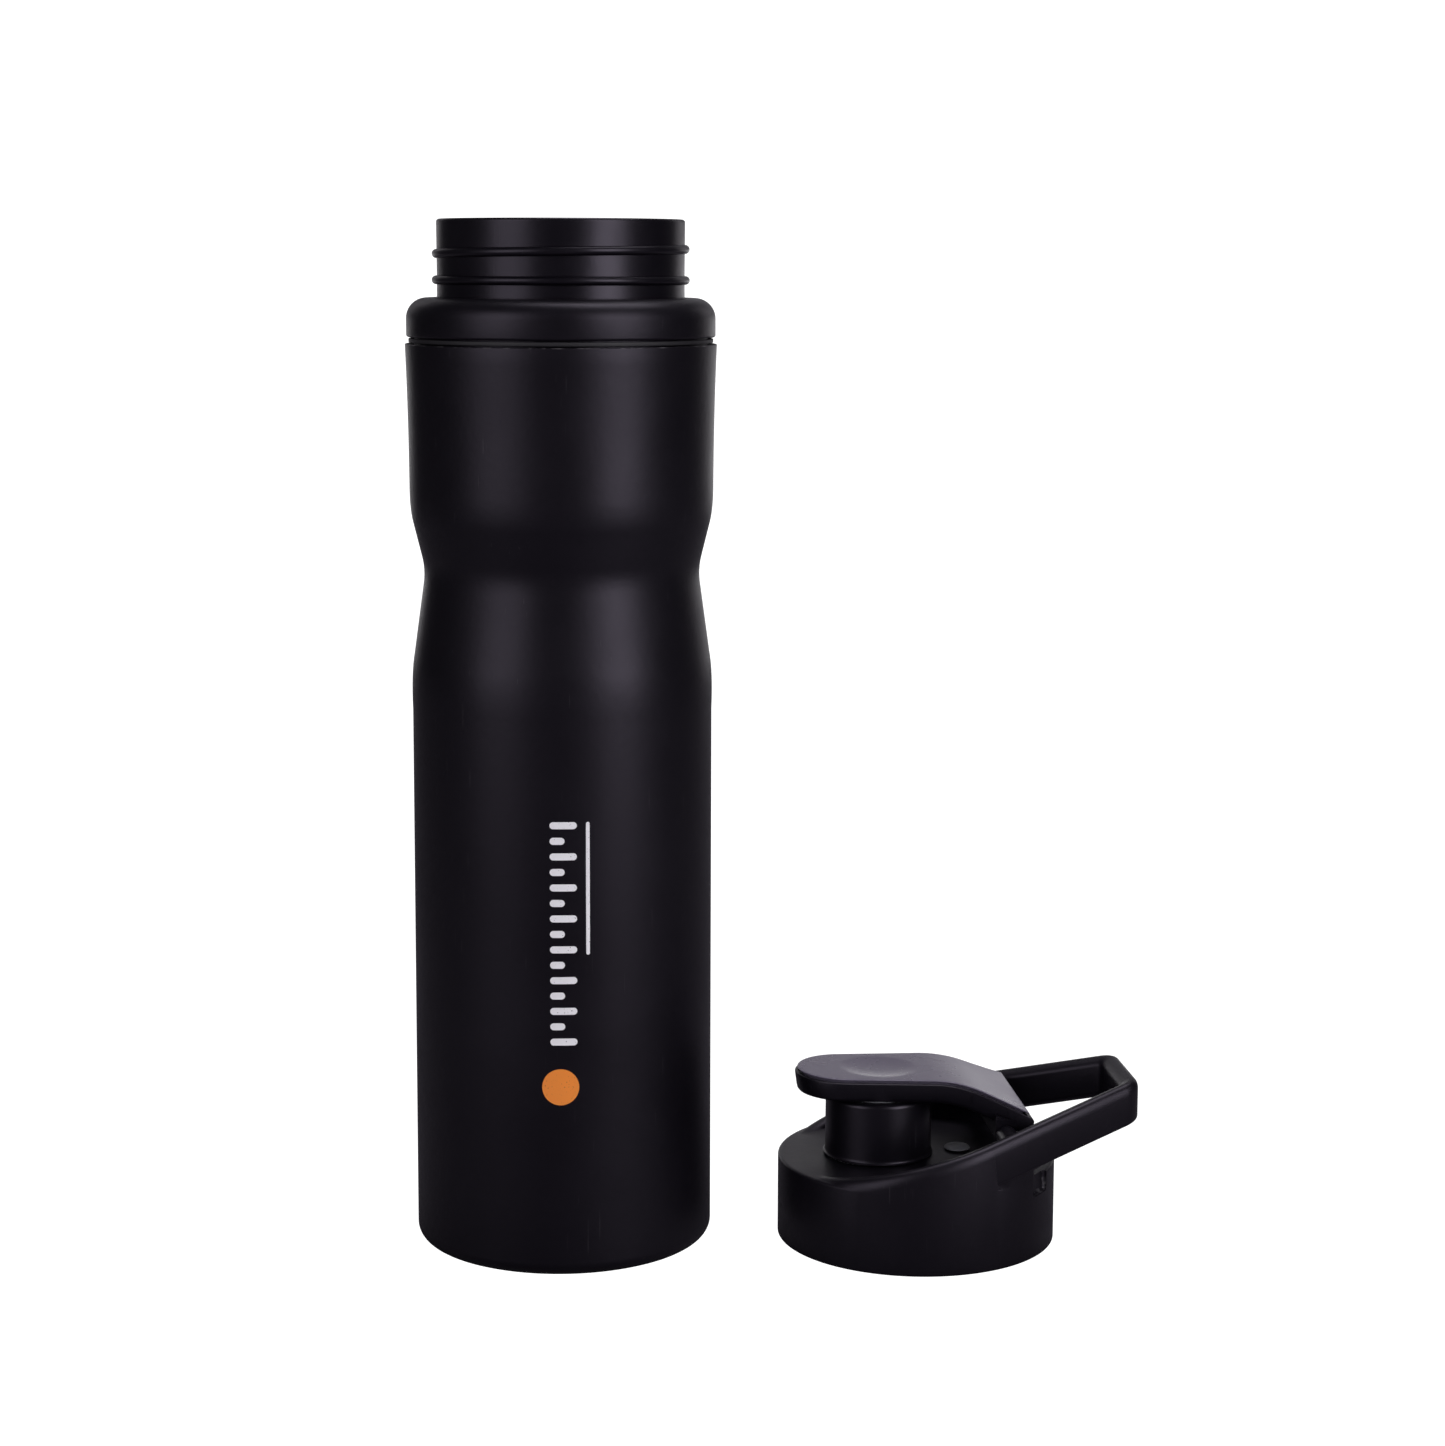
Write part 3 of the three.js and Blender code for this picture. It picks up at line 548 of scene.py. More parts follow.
LINER_WALL = 1.5
LINER_CORNER = 3.5
liner_low, liner_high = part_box("inner_liner")
liner_bottom, liner_top = liner_low.z / MM, liner_high.z / MM
LINER_R = 31.9
liner_bore = LINER_R - LINER_WALL
inner_corner = LINER_CORNER - LINER_WALL / 2
floor = liner_bottom + LINER_WALL
form = turned([
    (0, liner_bottom),
    *arc(LINER_R - LINER_CORNER, liner_bottom + LINER_CORNER, LINER_CORNER, -90, 0, 8),
    (LINER_R, liner_top - 2.4), (33.1, liner_top - 1.6), (33.1, liner_top),
    (liner_bore, liner_top),
    *arc(liner_bore - inner_corner, floor + inner_corner, inner_corner, 0, -90, 8),
    (0, floor),
])
liner = made("liner_cup", softened(form, 0.2, angle=40), natural_plastic)
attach(liner, "bottle")
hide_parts("inner_liner")


def soft_ring(
    name, cad_node, body, inner, outer, place=Matrix.Identity(4), stuff=grey_silicone,
):
    """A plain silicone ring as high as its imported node, with rounded edges."""
    low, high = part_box(cad_node)
    form = softened(ring(inner, outer, low.z / MM, high.z / MM, steps=128), 0.18)
    form.transform(place)
    piece = made(name, form, stuff)
    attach(piece, body)
    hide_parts(cad_node)


soft_ring("centring_ring", "liner_support", "bottle", 23, 31)
soft_ring("liner_flange_gasket", "liner_gasket", "bottle", 28.2, 31.5)


# ---- Neck ----
# A polished black moulded neck that the cap screws on to. One raised thread turns round it above
# a stop bead, and its flange is held down by the shoulder collar.
def combined(form, tool, operation="UNION"):
    """form with another closed form joined to it or cut from it; both are used up."""
    held = []
    for part in (form, tool):
        mesh = bpy.data.meshes.new("blank")
        part.to_mesh(mesh)
        part.free()
        blank = bpy.data.objects.new("blank", mesh)
        scene.collection.objects.link(blank)
        held.append(blank)
    cut = held[0].modifiers.new("cut", "BOOLEAN")
    cut.operation = operation
    cut.solver = "MANIFOLD"
    cut.object = held[1]
    shaped = held[0].evaluated_get(bpy.context.evaluated_depsgraph_get())
    result = bmesh.new()
    result.from_mesh(shaped.to_mesh())
    shaped.to_mesh_clear()
    for blank in held:
        mesh = blank.data
        bpy.data.objects.remove(blank)
        bpy.data.meshes.remove(mesh)
    bmesh.ops.remove_doubles(result, verts=result.verts, dist=1e-4)
    bmesh.ops.dissolve_degenerate(result, edges=result.edges, dist=1e-4)
    return result


def sealed(form):
    """Clears the inner walls that a sweep leaves, closes its ends and turns its faces outwards."""
    bmesh.ops.remove_doubles(form, verts=form.verts, dist=1e-4)
    inner = [face for face in form.faces if all(len(edge.link_faces) > 2 for edge in face.edges)]
    bmesh.ops.delete(form, geom=inner, context="FACES_ONLY")
    rims = [edge for edge in form.edges if len(edge.link_faces) == 1]
    bmesh.ops.holes_fill(form, edges=rims, sides=0)
    bmesh.ops.recalc_face_normals(form, faces=form.faces)
    return form


def thread(radius, bottom, ridge, inwards=False):
    """A round ridge along nearly one turn of a helix, sunk into its wall at both ends."""
    side = -1 if inwards else 1
    sweep = 2 * math.pi * THREAD_TURNS
    form = bmesh.new()
    section = bmesh.ops.create_circle(form, cap_ends=True, radius=ridge, segments=16)["verts"]
    bmesh.ops.rotate(form, verts=section, matrix=Matrix.Rotation(math.pi / 2, 3, "X"))
    bmesh.ops.translate(form, verts=section, vec=(radius, 0, bottom))
    bmesh.ops.rotate(form, verts=section, matrix=Matrix.Rotation(math.pi / 2, 3, "Z"))
    bmesh.ops.spin(
        form, geom=form.verts[:] + form.edges[:] + form.faces[:], cent=(0, 0, 0), axis=(0, 0, 1),
        angle=sweep, steps=THREAD_STEPS, dvec=(0, 0, THREAD_PITCH * THREAD_TURNS / THREAD_STEPS),
    )
    for vert in form.verts:
        angle = (math.atan2(vert.co.y, vert.co.x) - math.pi / 2) % (2 * math.pi)
        angle = 0 if angle > 2 * math.pi * (THREAD_TURNS + 0.02) else angle
        run = min(angle, sweep - angle) / THREAD_LEAD
        sink = (1 - min(1, max(0, run))) ** 2 * ridge * 1.15 * side
        away = math.hypot(vert.co.x, vert.co.y)
        vert.co.x *= (away - sink) / away
        vert.co.y *= (away - sink) / away
    return sealed(form)


polished_black = finish(
    "polished_black_plastic", colour=(0.0025, 0.0021, 0.0035), tint=(0.0038, 0.0032, 0.005),
    roughness=0.37, spread=0.05, relief_values=(240.0, 3000.0, 0.12), depth=0.00003,
    marked=0.6, bare=(0.12, 0.12, 0.13), **VIOLET_SHEEN,
)

NECK_R = 29.85
NECK_BORE_R = 27.65
BEAD_Z = 236.5
BEAD_RIDGE = 1.05
LIP = 0.7
FLANGE_R, FLANGE_Z = 31.7, 226.6
THREAD_Z = 242.1
THREAD_PITCH = 2.4
THREAD_TURNS = 0.96
THREAD_STEPS = 150
THREAD_LEAD = math.radians(22)
neck_low, neck_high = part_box("neck_ring")
neck_bottom, rim_z = neck_low.z / MM, neck_high.z / MM
form = turned([
    (NECK_BORE_R, neck_bottom), (FLANGE_R, neck_bottom), (FLANGE_R, FLANGE_Z), (NECK_R, FLANGE_Z),
    *arc(NECK_R + 0.1, BEAD_Z, BEAD_RIDGE, -100, 100, 12),
    (NECK_R, rim_z - 1.0), *arc(NECK_R - LIP, rim_z - LIP, LIP, 0, 90, 5),
    *arc(NECK_BORE_R + LIP, rim_z - LIP, LIP, 90, 180, 5),
], closed=True)
form = combined(form, thread(NECK_R, THREAD_Z, 1.1))
neck = made("threaded_neck", form, polished_black, crease=50)
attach(neck, "bottle")
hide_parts("neck_ring")


# ---- Shoulder collar and its seal ----
# The collar is moulded in black plastic with a fine spark-eroded texture. It rounds the shoulder
# off, holds the neck's flange down, and its skirt is pressed into the steel over a soft seal.
textured_black = finish(
    "textured_black_plastic", colour=(0.0022, 0.0018, 0.0031), tint=(0.0033, 0.0027, 0.0045),
    roughness=0.42, spread=0.045, relief_values=(900.0, 5200.0, 0.8), depth=0.000018,
    marked=0.5, bare=(0.13, 0.128, 0.135), **VIOLET_SHEEN,
)
black_silicone = soft_finish(
    "black_silicone", colour=(0.006, 0.0055, 0.0075), tint=(0.009, 0.0082, 0.011),
    roughness=0.6, grain_scale=2600.0, depth=0.00002,
)

COLLAR_R = 37.25
COLLAR_ROUNDING = 4.95
COLLAR_FOOT_Z = 222.9
COLLAR_SKIRT_R = 35.3
COLLAR_BORE_R = COLLAR_SKIRT_R - 1.8
COLLAR_LIP = 0.45
collar_low, collar_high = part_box("shoulder_collar")
collar_bottom, collar_top = collar_low.z / MM, collar_high.z / MM
form = turned([
    (COLLAR_BORE_R, collar_bottom), (COLLAR_SKIRT_R, collar_bottom),
    (COLLAR_SKIRT_R, COLLAR_FOOT_Z), (COLLAR_R - 0.6, COLLAR_FOOT_Z),
    *arc(COLLAR_R - 0.6, COLLAR_FOOT_Z + 0.6, 0.6, -80, 0, 4),
    *arc(COLLAR_R - COLLAR_ROUNDING, collar_top - COLLAR_ROUNDING, COLLAR_ROUNDING, 0, 90, 14),
    (NECK_R + 0.75, collar_top),
    *arc(NECK_R + 0.75, collar_top - COLLAR_LIP, COLLAR_LIP, 90, 180, 3)[1:],
    (NECK_R + 0.3, FLANGE_Z + 0.3), (COLLAR_BORE_R, FLANGE_Z + 0.3),
], closed=True)
collar = made("moulded_collar", form, textured_black)
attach(collar, "bottle")
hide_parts("shoulder_collar")
soft_ring(
    "collar_gasket", "collar_seal", "bottle", COLLAR_SKIRT_R + 0.3, 36.7, stuff=black_silicone,
)


# ---- Mixing ball ----
# Three crossed round fins moulded in one piece of natural plastic, each pierced by four holes. It
# lies loose in the liner and breaks up powder as the bottle is shaken.
FIN_THICK = 2.4
FIN_ROUNDING = 0.7
FIN_HOLE_R = 5.0
FIN_HOLE_AT = 11.5
ball_low, ball_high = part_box("mixing_ball")
ball_r = (ball_high.z - ball_low.z) / 2 / MM
ball_z = (ball_high.z + ball_low.z) / 2 / MM


def fin():
    """A disc with a rounded rim and four round holes."""
    half = FIN_THICK / 2
    round_r, round_z = ball_r - FIN_ROUNDING, half - FIN_ROUNDING
    form = turned([
        (0, -half), *arc(round_r, -round_z, FIN_ROUNDING, -90, 0, 5),
        *arc(round_r, round_z, FIN_ROUNDING, 0, 90, 5), (0, half),
    ], 72)
    holes = bmesh.new()
    for quarter in range(4):
        angle = math.radians(45 + 90 * quarter)
        spot = (FIN_HOLE_AT * math.cos(angle), FIN_HOLE_AT * math.sin(angle), 0)
        bmesh.ops.create_cone(
            holes, cap_ends=True, segments=40, radius1=FIN_HOLE_R, radius2=FIN_HOLE_R,
            depth=2 * FIN_THICK, matrix=Matrix.Translation(spot),
        )
    return combined(form, holes, "DIFFERENCE")


form = fin()
for axis in "XY":
    crossing = fin()
    crossing.transform(Matrix.Rotation(math.pi / 2, 4, axis))
    form = combined(form, crossing)
form.transform(Matrix.Translation((0, 0, ball_z)))
ball = made("finned_mixing_ball", form, natural_plastic)
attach(ball, "agitator")
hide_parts("mixing_ball")


# ---- Cap: skirt, deck, band and carry loop ----
# One black moulding. The skirt and the deck are a shallow cup, and a band climbs out of the deck's
# edge, leaves the skirt as two straight arms and closes in a squared loop for carrying. Bosses
# inside the arms hold the lid's hinge, and two small pockets in the skirt are left by the mould.
joints = {joint["name"]: joint for joint in frame["joints"]}
turn_at = Vector(joints["cap_turn"]["pos_m"])
flip_axis = Vector(joints["lid_flip"]["axis"])
cap_place = (
    Matrix.Translation((turn_at.x / MM, turn_at.y / MM, 0))
    @ Matrix.Rotation(math.atan2(-flip_axis.x, flip_axis.y), 4, "Z")
)
hinge = cap_place.inverted() @ (Vector(joints["lid_flip"]["pos_m"]) / MM)
across_at_hinge = (
    Matrix.Translation((hinge.x, 0, hinge.z)) @ Matrix.Rotation(-math.pi / 2, 4, "X")
)

SKIRT_R = 34.45
SKIRT_BORE = 32.95
SKIRT_EDGE = 0.5
DECK_UNDER_Z = 18.6
DECK_EDGE_Z = 20.4
DECK_Z = 21.0
DECK_ROUNDING = 0.7
BAND_WALL = 4.7
BAND_DEPTH = 10.4
BAND_Z_AT_AXIS = 27.4
BAND_SLOPE = 0.262
CROWN_OUT, DROP_OUT = 1.9, 2.9
DROP_IN = 1.9
LOOP_END_X = 53.9
LOOP_CORNER_R = 6.5
LOOP_CORNER_Y = 9.2
HIDDEN = 0.03
ARM_FILLET, ARM_EDGE = 2.2, 0.7
NOT_ON_BAND = 1000
CROWN_STEPS = 7
SPIN_STEPS = 180
SPOUT_X = -9.6
DECK_HOLE_R = 12.9
VENT_X = 10.4
BARREL_R = 2.6
BARREL_HALF = 17.2
BOSS_END = 25.0
BOSS_BORE_R = 1.3
POCKET_BEARING = 37.0
POCKET_SIZE = (3.2, 7.5, 7.0)
POCKET_Z = 19.0
VENT_HOLE_R = 1.4

corner_x = LOOP_END_X - LOOP_CORNER_R
lean = math.acos((SKIRT_R - LOOP_CORNER_R) / math.hypot(corner_x, LOOP_CORNER_Y))
tangent = math.atan2(LOOP_CORNER_Y, corner_x) + lean
arm_length = math.sqrt(math.hypot(corner_x, LOOP_CORNER_Y) ** 2 - (SKIRT_R - LOOP_CORNER_R) ** 2)


def band_top(x):
    return BAND_Z_AT_AXIS + BAND_SLOPE * x


def crown():
    """The band's rounded top as (distance inwards, drop below the ridge), outer side first."""
    quarter = [math.pi / 2 * i / CROWN_STEPS for i in range(CROWN_STEPS + 1)]
    outer = [(CROWN_OUT * (1 - math.cos(a)), DROP_OUT * (1 - math.sin(a))) for a in quarter]
    width = BAND_WALL - CROWN_OUT
    inner = [
        (CROWN_OUT + width * math.cos(a), DROP_IN * (1 - math.sin(a))) for a in reversed(quarter)
    ]
    return outer + inner[1:]


def deck_height(radius):
    """Height of the deck and of its rounded edge at a radius."""
    over = radius - (SKIRT_R - DECK_ROUNDING)
    if over > 0:
        return DECK_EDGE_Z - DECK_ROUNDING + math.sqrt(max(0, DECK_ROUNDING ** 2 - over ** 2))
    flat = SKIRT_R - DECK_ROUNDING
    return DECK_EDGE_Z + (DECK_Z - DECK_EDGE_Z) * (1 - (radius / flat) ** 2)


# The cup is turned with its deck flat, and the points of the band are then lifted to the band's
# top wherever that is above the deck, up to the two places where the arms leave the skirt.
form = bmesh.new()
drop = form.verts.layers.float.new("drop")
path = [
    (0, DECK_UNDER_Z), (SKIRT_BORE, DECK_UNDER_Z), (SKIRT_BORE, 0),
    *arc(SKIRT_R - SKIRT_EDGE, SKIRT_EDGE, SKIRT_EDGE, -90, 0, 4),
    (SKIRT_R, DECK_EDGE_Z - DECK_ROUNDING),
]
points = [(form.verts.new((radius, 0, height)), NOT_ON_BAND) for radius, height in path]
for inwards, depth in crown():
    radius = SKIRT_R - inwards
    points.append((form.verts.new((radius, 0, deck_height(radius))), depth))
for radius in (SKIRT_R - BAND_WALL - 0.001, 26, 22, 17, 11, 5, 0):
    points.append((form.verts.new((radius, 0, deck_height(radius))), NOT_ON_BAND))
for vert, depth in points:
    vert[drop] = depth
chain = [vert for vert, depth in points]
edges = [form.edges.new(pair) for pair in zip(chain, chain[1:])]
bmesh.ops.spin(
    form, geom=chain + edges, cent=(0, 0, 0), axis=(0, 0, 1), angle=2 * math.pi,
    steps=SPIN_STEPS, use_merge=True,
)
for vert in form.verts:
    if vert[drop] < NOT_ON_BAND and abs(math.atan2(vert.co.y, vert.co.x)) > tangent:
        vert.co.z = max(vert.co.z, band_top(vert.co.x) - vert[drop])
bmesh.ops.remove_doubles(form, verts=form.verts, dist=1e-4)
bmesh.ops.recalc_face_normals(form, faces=form.faces)
cup = form


def swept_band(section):
    """A section of (inwards, height) points swept along the arms and the loop's two corners."""
    form = bmesh.new()
    start = tangent + math.radians(6)
    spot = [form.verts.new((SKIRT_R - inwards, 0, height)) for inwards, height in section]
    form.faces.new(spot)
    bmesh.ops.rotate(form, verts=form.verts, matrix=Matrix.Rotation(-start, 3, "Z"))
    last = form.verts[:] + form.edges[:] + form.faces[:]

    def turn(geometry, centre, angle, steps):
        return bmesh.ops.spin(
            form, geom=geometry, cent=centre, axis=(0, 0, 1), angle=angle, steps=steps,
        )["geom_last"]

    def run(geometry, bearing, length):
        new = bmesh.ops.extrude_face_region(
            form, geom=[item for item in geometry if isinstance(item, bmesh.types.BMFace)],
        )["geom"]
        step = Vector((math.cos(bearing), math.sin(bearing), 0)) * length
        bmesh.ops.translate(
            form, verts=[item for item in new if isinstance(item, bmesh.types.BMVert)], vec=step,
        )
        return new

    last = turn(last, (0, 0, 0), start - tangent, 3)
    last = run(last, math.pi / 2 - tangent, arm_length)
    last = turn(last, (corner_x, -LOOP_CORNER_Y, 0), tangent, 16)
    last = run(last, math.pi / 2, 2 * LOOP_CORNER_Y)
    last = turn(last, (corner_x, LOOP_CORNER_Y, 0), tangent, 16)
    last = run(last, math.pi / 2 + tangent, arm_length)
    turn(last, (0, 0, 0), start - tangent, 3)
    for vert in form.verts:
        vert.co.z += band_top(vert.co.x)
    return sealed(form)


arm = [(inwards + HIDDEN, -depth) for inwards, depth in crown()]
arm += arc(BAND_WALL + HIDDEN - ARM_FILLET, ARM_FILLET - BAND_DEPTH, ARM_FILLET, 0, -90, 7)
arm += arc(HIDDEN + ARM_EDGE, ARM_EDGE - BAND_DEPTH, ARM_EDGE, -90, -180, 4)
seat = [(0.15, -3), (BAND_WALL - 0.1, -3), (BAND_WALL - 0.1, -30), (0.15, -30)]
drum = turned([(0, 18.8), (SKIRT_R - HIDDEN, 18.8), (SKIRT_R - HIDDEN, 60), (0, 60)], SPIN_STEPS)
form = combined(cup, swept_band(arm))
form = combined(form, combined(swept_band(seat), drum, "INTERSECT"))


def bar(radius, start, end):
    """A round bar along Y at the hinge."""
    form = turned([(0, start), (radius, start), (radius, end), (0, end)], 48)
    form.transform(across_at_hinge)
    return form


def upright(radius, x, low, high, steps=96):
    """A round bar along Z at a place on the cap's centre line."""
    form = turned([(0, low), (radius, low), (radius, high), (0, high)], steps)
    form.transform(Matrix.Translation((x, 0, 0)))
    return form


for side in (-1, 1):
    ends = sorted((side * (BARREL_HALF + 0.4), side * BOSS_END))
    form = combined(form, bar(BARREL_R, *ends))
    ends = sorted((side * 10, side * (BOSS_END + 0.8)))
    form = combined(form, bar(BOSS_BORE_R, *ends), "DIFFERENCE")
    pocket = bmesh.new()
    bmesh.ops.create_cube(pocket, size=1, matrix=Matrix.Diagonal((*POCKET_SIZE, 1)))
    softened(pocket, 0.9, 4)
    pocket.transform(
        Matrix.Rotation(side * math.radians(POCKET_BEARING), 4, "Z")
        @ Matrix.Translation((SKIRT_R + 0.4, 0, POCKET_Z))
    )
    form = combined(form, pocket, "DIFFERENCE")
form = combined(form, upright(DECK_HOLE_R, SPOUT_X, 10, 30), "DIFFERENCE")
form = combined(form, upright(VENT_HOLE_R, VENT_X, 10, 30, 24), "DIFFERENCE")
form.transform(cap_place)
cap = made("cap_with_carry_loop", form, textured_black, crease=32)
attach(cap, "cap")
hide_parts("cap_shell")


# ---- Thread insert and cap gasket ----
# A separate threaded ring is pressed into the skirt, and a soft gasket lies above it against the
# underside of the deck, where the neck's rim squeezes it.
INSERT_BORE = 31.35
INSERT_R = 32.65
insert_low, insert_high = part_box("cap_insert")
form = softened(
    ring(INSERT_BORE, INSERT_R, insert_low.z / MM, insert_high.z / MM), 0.25,
)
form = combined(form, thread(INSERT_BORE, 6, 0.95, inwards=True))
form.transform(cap_place)
insert = made("threaded_insert", form, textured_black)
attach(insert, "cap")
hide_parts("cap_insert")
soft_ring("cap_sealing_gasket", "cap_gasket", "cap_seal", 27.7, 31, cap_place)


# ---- Spout, its seal and its lock ring, and the air valve ----
# The spout is a polished tube whose spigot passes through the deck over a soft seal and is held
# by a ring from below. A small silicone valve behind it lets air in as the bottle is drunk from.
SPOUT_R = 13.2
SPOUT_BORE = 10.4
SPIGOT_R = 11.5
LOCK_R = 14.6
MOUTH_OUT, MOUTH_IN = 1.2, 1.1
spout_low, spout_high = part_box("spout")
spigot_z, mouth_z = spout_low.z / MM, spout_high.z / MM
foot_z = DECK_Z + 0.3
spout_place = cap_place @ Matrix.Translation((SPOUT_X, 0, 0))
form = turned([
    (SPOUT_BORE, spigot_z), (SPIGOT_R, spigot_z), (SPIGOT_R, foot_z), (SPOUT_R + 0.45, foot_z),
    *bend((SPOUT_R + 0.45, foot_z + 0.15), (SPOUT_R, foot_z + 0.3), (SPOUT_R, foot_z + 1.2), 6),
    (SPOUT_R - 0.1, mouth_z - MOUTH_OUT),
    *arc(SPOUT_R - 0.1 - MOUTH_OUT, mouth_z - MOUTH_OUT, MOUTH_OUT, 0, 90, 7)[1:],
    *arc(SPOUT_BORE + MOUTH_IN, mouth_z - MOUTH_IN, MOUTH_IN, 90, 180, 7),
], closed=True)
form.transform(spout_place)
spout = made("drinking_spout", form, polished_black)
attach(spout, "cap")
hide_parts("spout")
soft_ring("spout_foot_seal", "spout_seal", "cap", SPIGOT_R + 0.3, DECK_HOLE_R - 0.3, spout_place)

lock_low, lock_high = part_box("spout_lock_ring")
form = softened(ring(SPIGOT_R + 0.3, LOCK_R, lock_low.z / MM, lock_high.z / MM, 96), 0.3)
form.transform(spout_place)
lock = made("spout_lock_nut", form, textured_black)
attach(lock, "cap")
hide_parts("spout_lock_ring")

vent_low, vent_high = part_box("vent_valve")
vent_bottom, vent_top = vent_low.z / MM, vent_high.z / MM
form = turned([
    (0, vent_bottom), (1.3, vent_bottom + 0.2), (1.9, vent_bottom + 1.4), (1, vent_bottom + 1.4),
    (1, foot_z), (3.2, foot_z), *bend((3.15, foot_z + 0.3), (2.7, vent_top), (0, vent_top), 8),
], 48)
form.transform(cap_place @ Matrix.Translation((VENT_X, 0, 0)))
vent = made("air_valve", softened(form, 0.1, 2, 40), grey_silicone)
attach(vent, "cap")
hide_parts("vent_valve")


# ---- Hinge pin ----
# A straight pin cut from blackened steel wire, with its ends chamfered. It runs from one arm's
# boss to the other through the barrel under the lid.
PIN_R = 1.2
PIN_HALF = 25.5

blackened_steel = finish(
    "blackened_steel", colour=(0.06, 0.058, 0.062), tint=(0.045, 0.044, 0.048),
    roughness=0.36, spread=0.06, relief_values=(900.0, 6000.0, 0.4), depth=0.00001,
    marked=0.5, bare=(0.35, 0.35, 0.36), **{"Metallic": 1.0},
)
form = turned([
    (0, -PIN_HALF), (PIN_R - 0.35, -PIN_HALF), (PIN_R, -PIN_HALF + 0.35),
    (PIN_R, PIN_HALF - 0.35), (PIN_R - 0.35, PIN_HALF), (0, PIN_HALF),
], 40)
form.transform(cap_place @ across_at_hinge)
pin = made("hinge_wire_pin", form, blackened_steel)
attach(pin, "cap")
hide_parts("hinge_pin")


# ---- Flip lid ----
# The lid is a paddle moulded in textured black, level over the spout and bent down to a barrel
# that turns on the pin. Its sides lean in below the rim, its top is recessed for an inlay, and its
# hollow underside holds the plug in a round cup.
LID_TIP_R = 12.6
LID_TIP_X = -17.9
LID_TAIL_X = 26.0
LID_TAIL_HALF = 19.4
LID_WAIST_HALF = 13.7
LID_WAIST_X = 2.0
LID_BEND_R = 33.0
LID_THICK = 5.7
LID_TILT = math.radians(1.26)
LID_RAMP = math.radians(22.8)
LID_Z_AT_AXIS = 42.4
PANEL_THICK = 1.4
PANEL_PROUD = 0.85
PANEL_BED = PANEL_THICK + 0.3
HOLLOW_TOP = PANEL_BED + 1.7
HOLLOW_END_X = 13
PLUG_SEAT_Z = 38.2
PLUG_FLANGE_R = 11.8
CUP_R = 12.6
CUP_LOW_Z, CUP_HIGH_Z = 37.5, 39.4


def lid_outline(inset, tail_inset=None, longest=100.0):
    """Plan of the lid moved inwards, its tail by its own distance, with a round tip."""
    tail_inset = inset if tail_inset is None else tail_inset
    tail_x = LID_TAIL_X - tail_inset
    tail_half = LID_TAIL_HALF - inset * 1.1 - tail_inset * 0.45
    waist = LID_WAIST_HALF - inset
    tip = LID_TIP_R - inset
    side = [(tail_x, tail_half * i / 6) for i in range(7)]
    ends = [(tail_x, tail_half), (18.5, 16 - inset), (12, 14.2 - inset), (LID_WAIST_X, waist)]
    for i in range(1, 15):
        t = i / 14
        weights = ((1 - t) ** 3, 3 * t * (1 - t) ** 2, 3 * t * t * (1 - t), t ** 3)
        side.append(tuple(sum(w * end[k] for w, end in zip(weights, ends)) for k in (0, 1)))
    side += [
        (LID_WAIST_X + (LID_TIP_X - LID_WAIST_X) * i / 8, waist + (tip - waist) * i / 8)
        for i in range(1, 8)
    ]
    side += arc(LID_TIP_X, 0, tip, 90, 180, 16)
    side = [(x, y) if x < longest else (longest, min(y, waist)) for x, y in side]
    return side + [(x, -y) for x, y in reversed(side[1:-1])]


def lid_top(x):
    """Height of the lid's top face: level, then an arc, then a straight ramp."""
    centre_x = LID_WAIST_X - LID_BEND_R * math.sin(LID_TILT)
    centre_z = LID_Z_AT_AXIS - LID_WAIST_X * math.tan(LID_TILT) - LID_BEND_R * math.cos(LID_TILT)
    ramp_x = centre_x + LID_BEND_R * math.sin(LID_RAMP)
    if x < LID_WAIST_X:
        return LID_Z_AT_AXIS - x * math.tan(LID_TILT)
    if x < ramp_x:
        return centre_z + math.sqrt(LID_BEND_R ** 2 - (x - centre_x) ** 2)
    return centre_z + LID_BEND_R * math.cos(LID_RAMP) - (x - ramp_x) * math.tan(LID_RAMP)


def layered(levels):
    """Closed form whose rims follow the lid's plan, each at its own depth and insets."""
    form = bmesh.new()
    rims = []
    for depth, *insets in levels:
        rim = [form.verts.new((x, y, -depth)) for x, y in lid_outline(*insets)]
        rims.append([form.edges.new((a, b)) for a, b in zip(rim, rim[1:] + rim[:1])])
    for lower, upper in zip(rims, rims[1:]):
        bmesh.ops.bridge_loops(form, edges=lower + upper)
    bmesh.ops.contextual_create(form, geom=rims[0])
    bmesh.ops.contextual_create(form, geom=rims[-1])
    bmesh.ops.recalc_face_normals(form, faces=form.faces)
    return form


def sliced(form, axis, start, end, step):
    """Cuts a form into strips across an axis so that it can bend."""
    count = int(round((end - start) / step))
    normal = Vector((axis == 0, axis == 1, 0))
    for i in range(count + 1):
        bmesh.ops.bisect_plane(
            form, geom=form.verts[:] + form.edges[:] + form.faces[:], dist=1e-4,
            plane_co=normal * (start + i * (end - start) / count), plane_no=normal,
        )


def bent(form):
    """Lays a flat form along the lid's top face, its thickness kept."""
    for vert in form.verts:
        x = vert.co.x
        fall = math.atan2(lid_top(x - 0.05) - lid_top(x + 0.05), 0.1)
        vert.co.z = lid_top(x) + vert.co.z / math.cos(fall)
    bmesh.ops.recalc_face_normals(form, faces=form.faces)
    return form


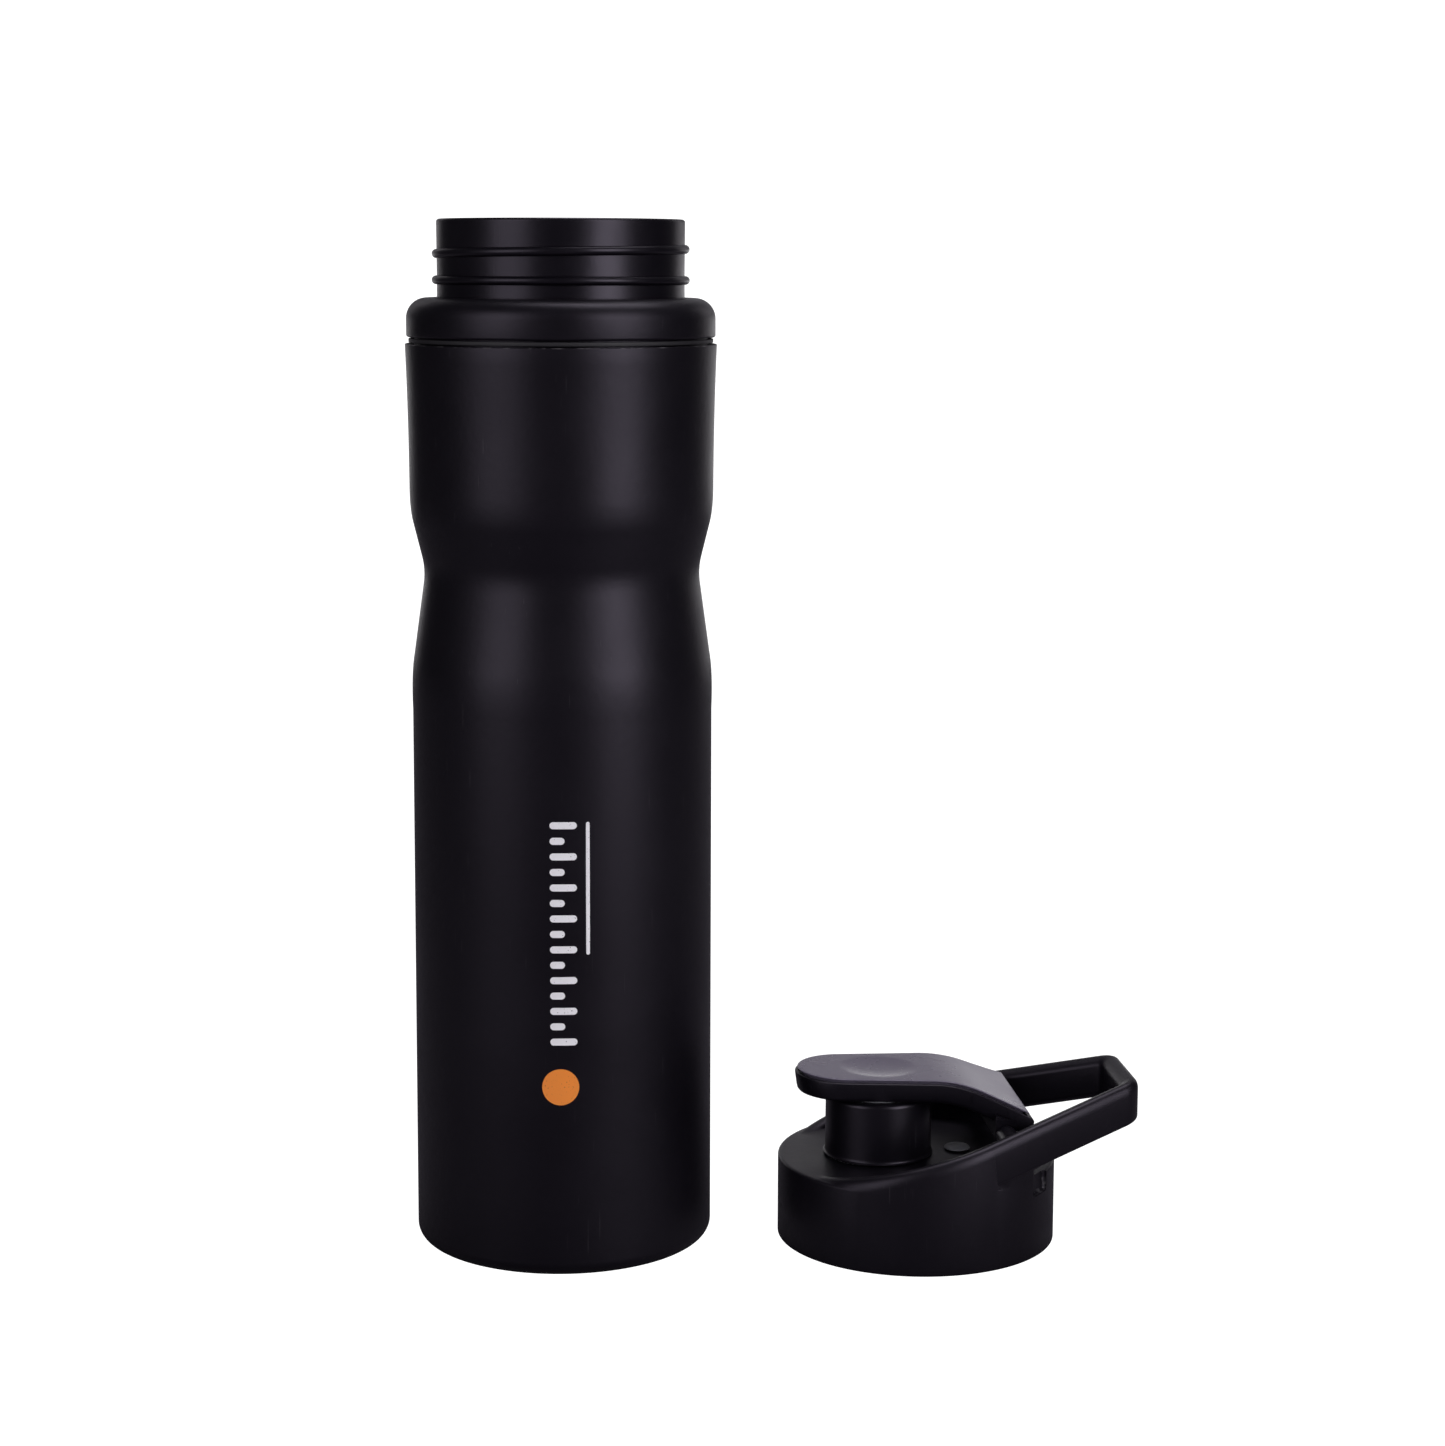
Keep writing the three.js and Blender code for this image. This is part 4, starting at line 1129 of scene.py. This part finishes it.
form = layered([
    (PANEL_BED, 0.9, 1.4), (PANEL_PROUD + 0.2, 0.9, 1.4), (PANEL_PROUD + 0.04, 0.78, 1.25),
    (PANEL_PROUD, 0.65, 1.05), (PANEL_PROUD + 0.05, 0.3, 0.5), (PANEL_PROUD + 0.2, 0.08, 0.15),
    (PANEL_PROUD + 0.5, 0, 0),
    (LID_THICK - 1.1, 0.45, 0.45), (LID_THICK - 0.5, 0.6, 0.6), (LID_THICK - 0.14, 0.9, 0.9),
    (LID_THICK, 1.3, 1.3), (LID_THICK, 2.0, 2.0, HOLLOW_END_X + 0.4),
    (LID_THICK - 0.3, 2.4, 2.4, HOLLOW_END_X), (HOLLOW_TOP, 2.4, 2.4, HOLLOW_END_X),
])
sliced(form, 0, 1, 25.4, 0.8)
form = bent(form)
cup = turned([
    (0, PLUG_SEAT_Z), (PLUG_FLANGE_R + 0.3, PLUG_SEAT_Z), (PLUG_FLANGE_R + 0.3, CUP_LOW_Z),
    (CUP_R, CUP_LOW_Z), (CUP_R, CUP_HIGH_Z), (0, CUP_HIGH_Z),
], 96)
cup.transform(Matrix.Translation((SPOUT_X, 0, 0)))
form = combined(form, cup)
for ends in ((-30, -BARREL_HALF), (BARREL_HALF, 30)):
    form = combined(form, bar(BARREL_R + 0.7, *ends), "DIFFERENCE")
web = bmesh.new()
web_half = BARREL_HALF - 0.05
side = [(hinge.x - BARREL_R, hinge.z), (hinge.x + BARREL_R, hinge.z),
        (hinge.x + BARREL_R, hinge.z + 3.4), (hinge.x - BARREL_R, hinge.z + 5)]
face = web.faces.new([web.verts.new((x, -web_half, z)) for x, z in side])
new = bmesh.ops.extrude_face_region(web, geom=[face])["geom"]
bmesh.ops.translate(
    web, vec=(0, 2 * web_half, 0), verts=[i for i in new if isinstance(i, bmesh.types.BMVert)],
)
bmesh.ops.recalc_face_normals(web, faces=web.faces)
form = combined(form, web)
form = combined(form, bar(BARREL_R, 0.1 - BARREL_HALF, BARREL_HALF - 0.1))
form = combined(form, bar(PIN_R + 0.12, -30, 30), "DIFFERENCE")
form.transform(cap_place)
lid = made("lid_paddle", form, textured_black, crease=32)
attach(lid, "lid")
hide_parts("flip_lid")


# ---- Lid inlay ----
# A satin plate of lighter grey-black plastic snapped into the lid's recess. It stands a little
# proud, its edge undercut so that a thin dark line runs all round it, and a shallow round dish
# over the spout guides the thumb.
DISH_R = 9.4
DISH_DEPTH = 0.55
DISH_CURVE = 2.2

satin_inlay = finish(
    "satin_inlay", colour=(0.115, 0.103, 0.139), tint=(0.132, 0.118, 0.158),
    roughness=0.3, spread=0.04, relief_values=(700.0, 5600.0, 0.6), depth=0.000014,
    marked=0.7, bare=(0.3, 0.29, 0.32), **VIOLET_SHEEN,
)
form = layered([
    (PANEL_THICK, 1.7, 2.3), (0.4, 1.7, 2.3), (0.32, 0.72, 1.1), (0.14, 0.6, 0.98),
    (0.03, 0.7, 1.08), (0, 0.9, 1.3),
])
sliced(form, 0, -27.9, 24.6, 0.75)
sliced(form, 1, -18, 18, 0.75)
for vert in form.verts:
    if vert.co.z > -0.01:
        away = math.hypot(vert.co.x - SPOUT_X, vert.co.y) / DISH_R
        vert.co.z -= DISH_DEPTH * (1 - min(1, away) ** DISH_CURVE)
form = bent(form)
form.transform(cap_place)
inlay = made("lid_inlay", form, satin_inlay)
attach(inlay, "lid")
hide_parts("lid_panel")


# ---- Lid plug ----
# The soft stopper under the lid: a flange held in the lid's cup, and a tapered hollow stub that
# is squeezed into the spout's bore when the lid snaps shut.
form = turned([
    (0, 33.2), (6.5, 32.9), *arc(7.8, 32.3, 0.5, 200, 300, 4), *arc(8.3, 32.3, 0.4, -60, 0, 3),
    (9.4, 34.5), (9.9, 36.7), (PLUG_FLANGE_R, 36.7), (PLUG_FLANGE_R, PLUG_SEAT_Z - 0.3),
    (0, PLUG_SEAT_Z - 0.3),
], 96)
form.transform(spout_place)
plug = made("silicone_plug", softened(form, 0.15, 2, 40), grey_silicone)
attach(plug, "lid")
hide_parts("lid_plug")
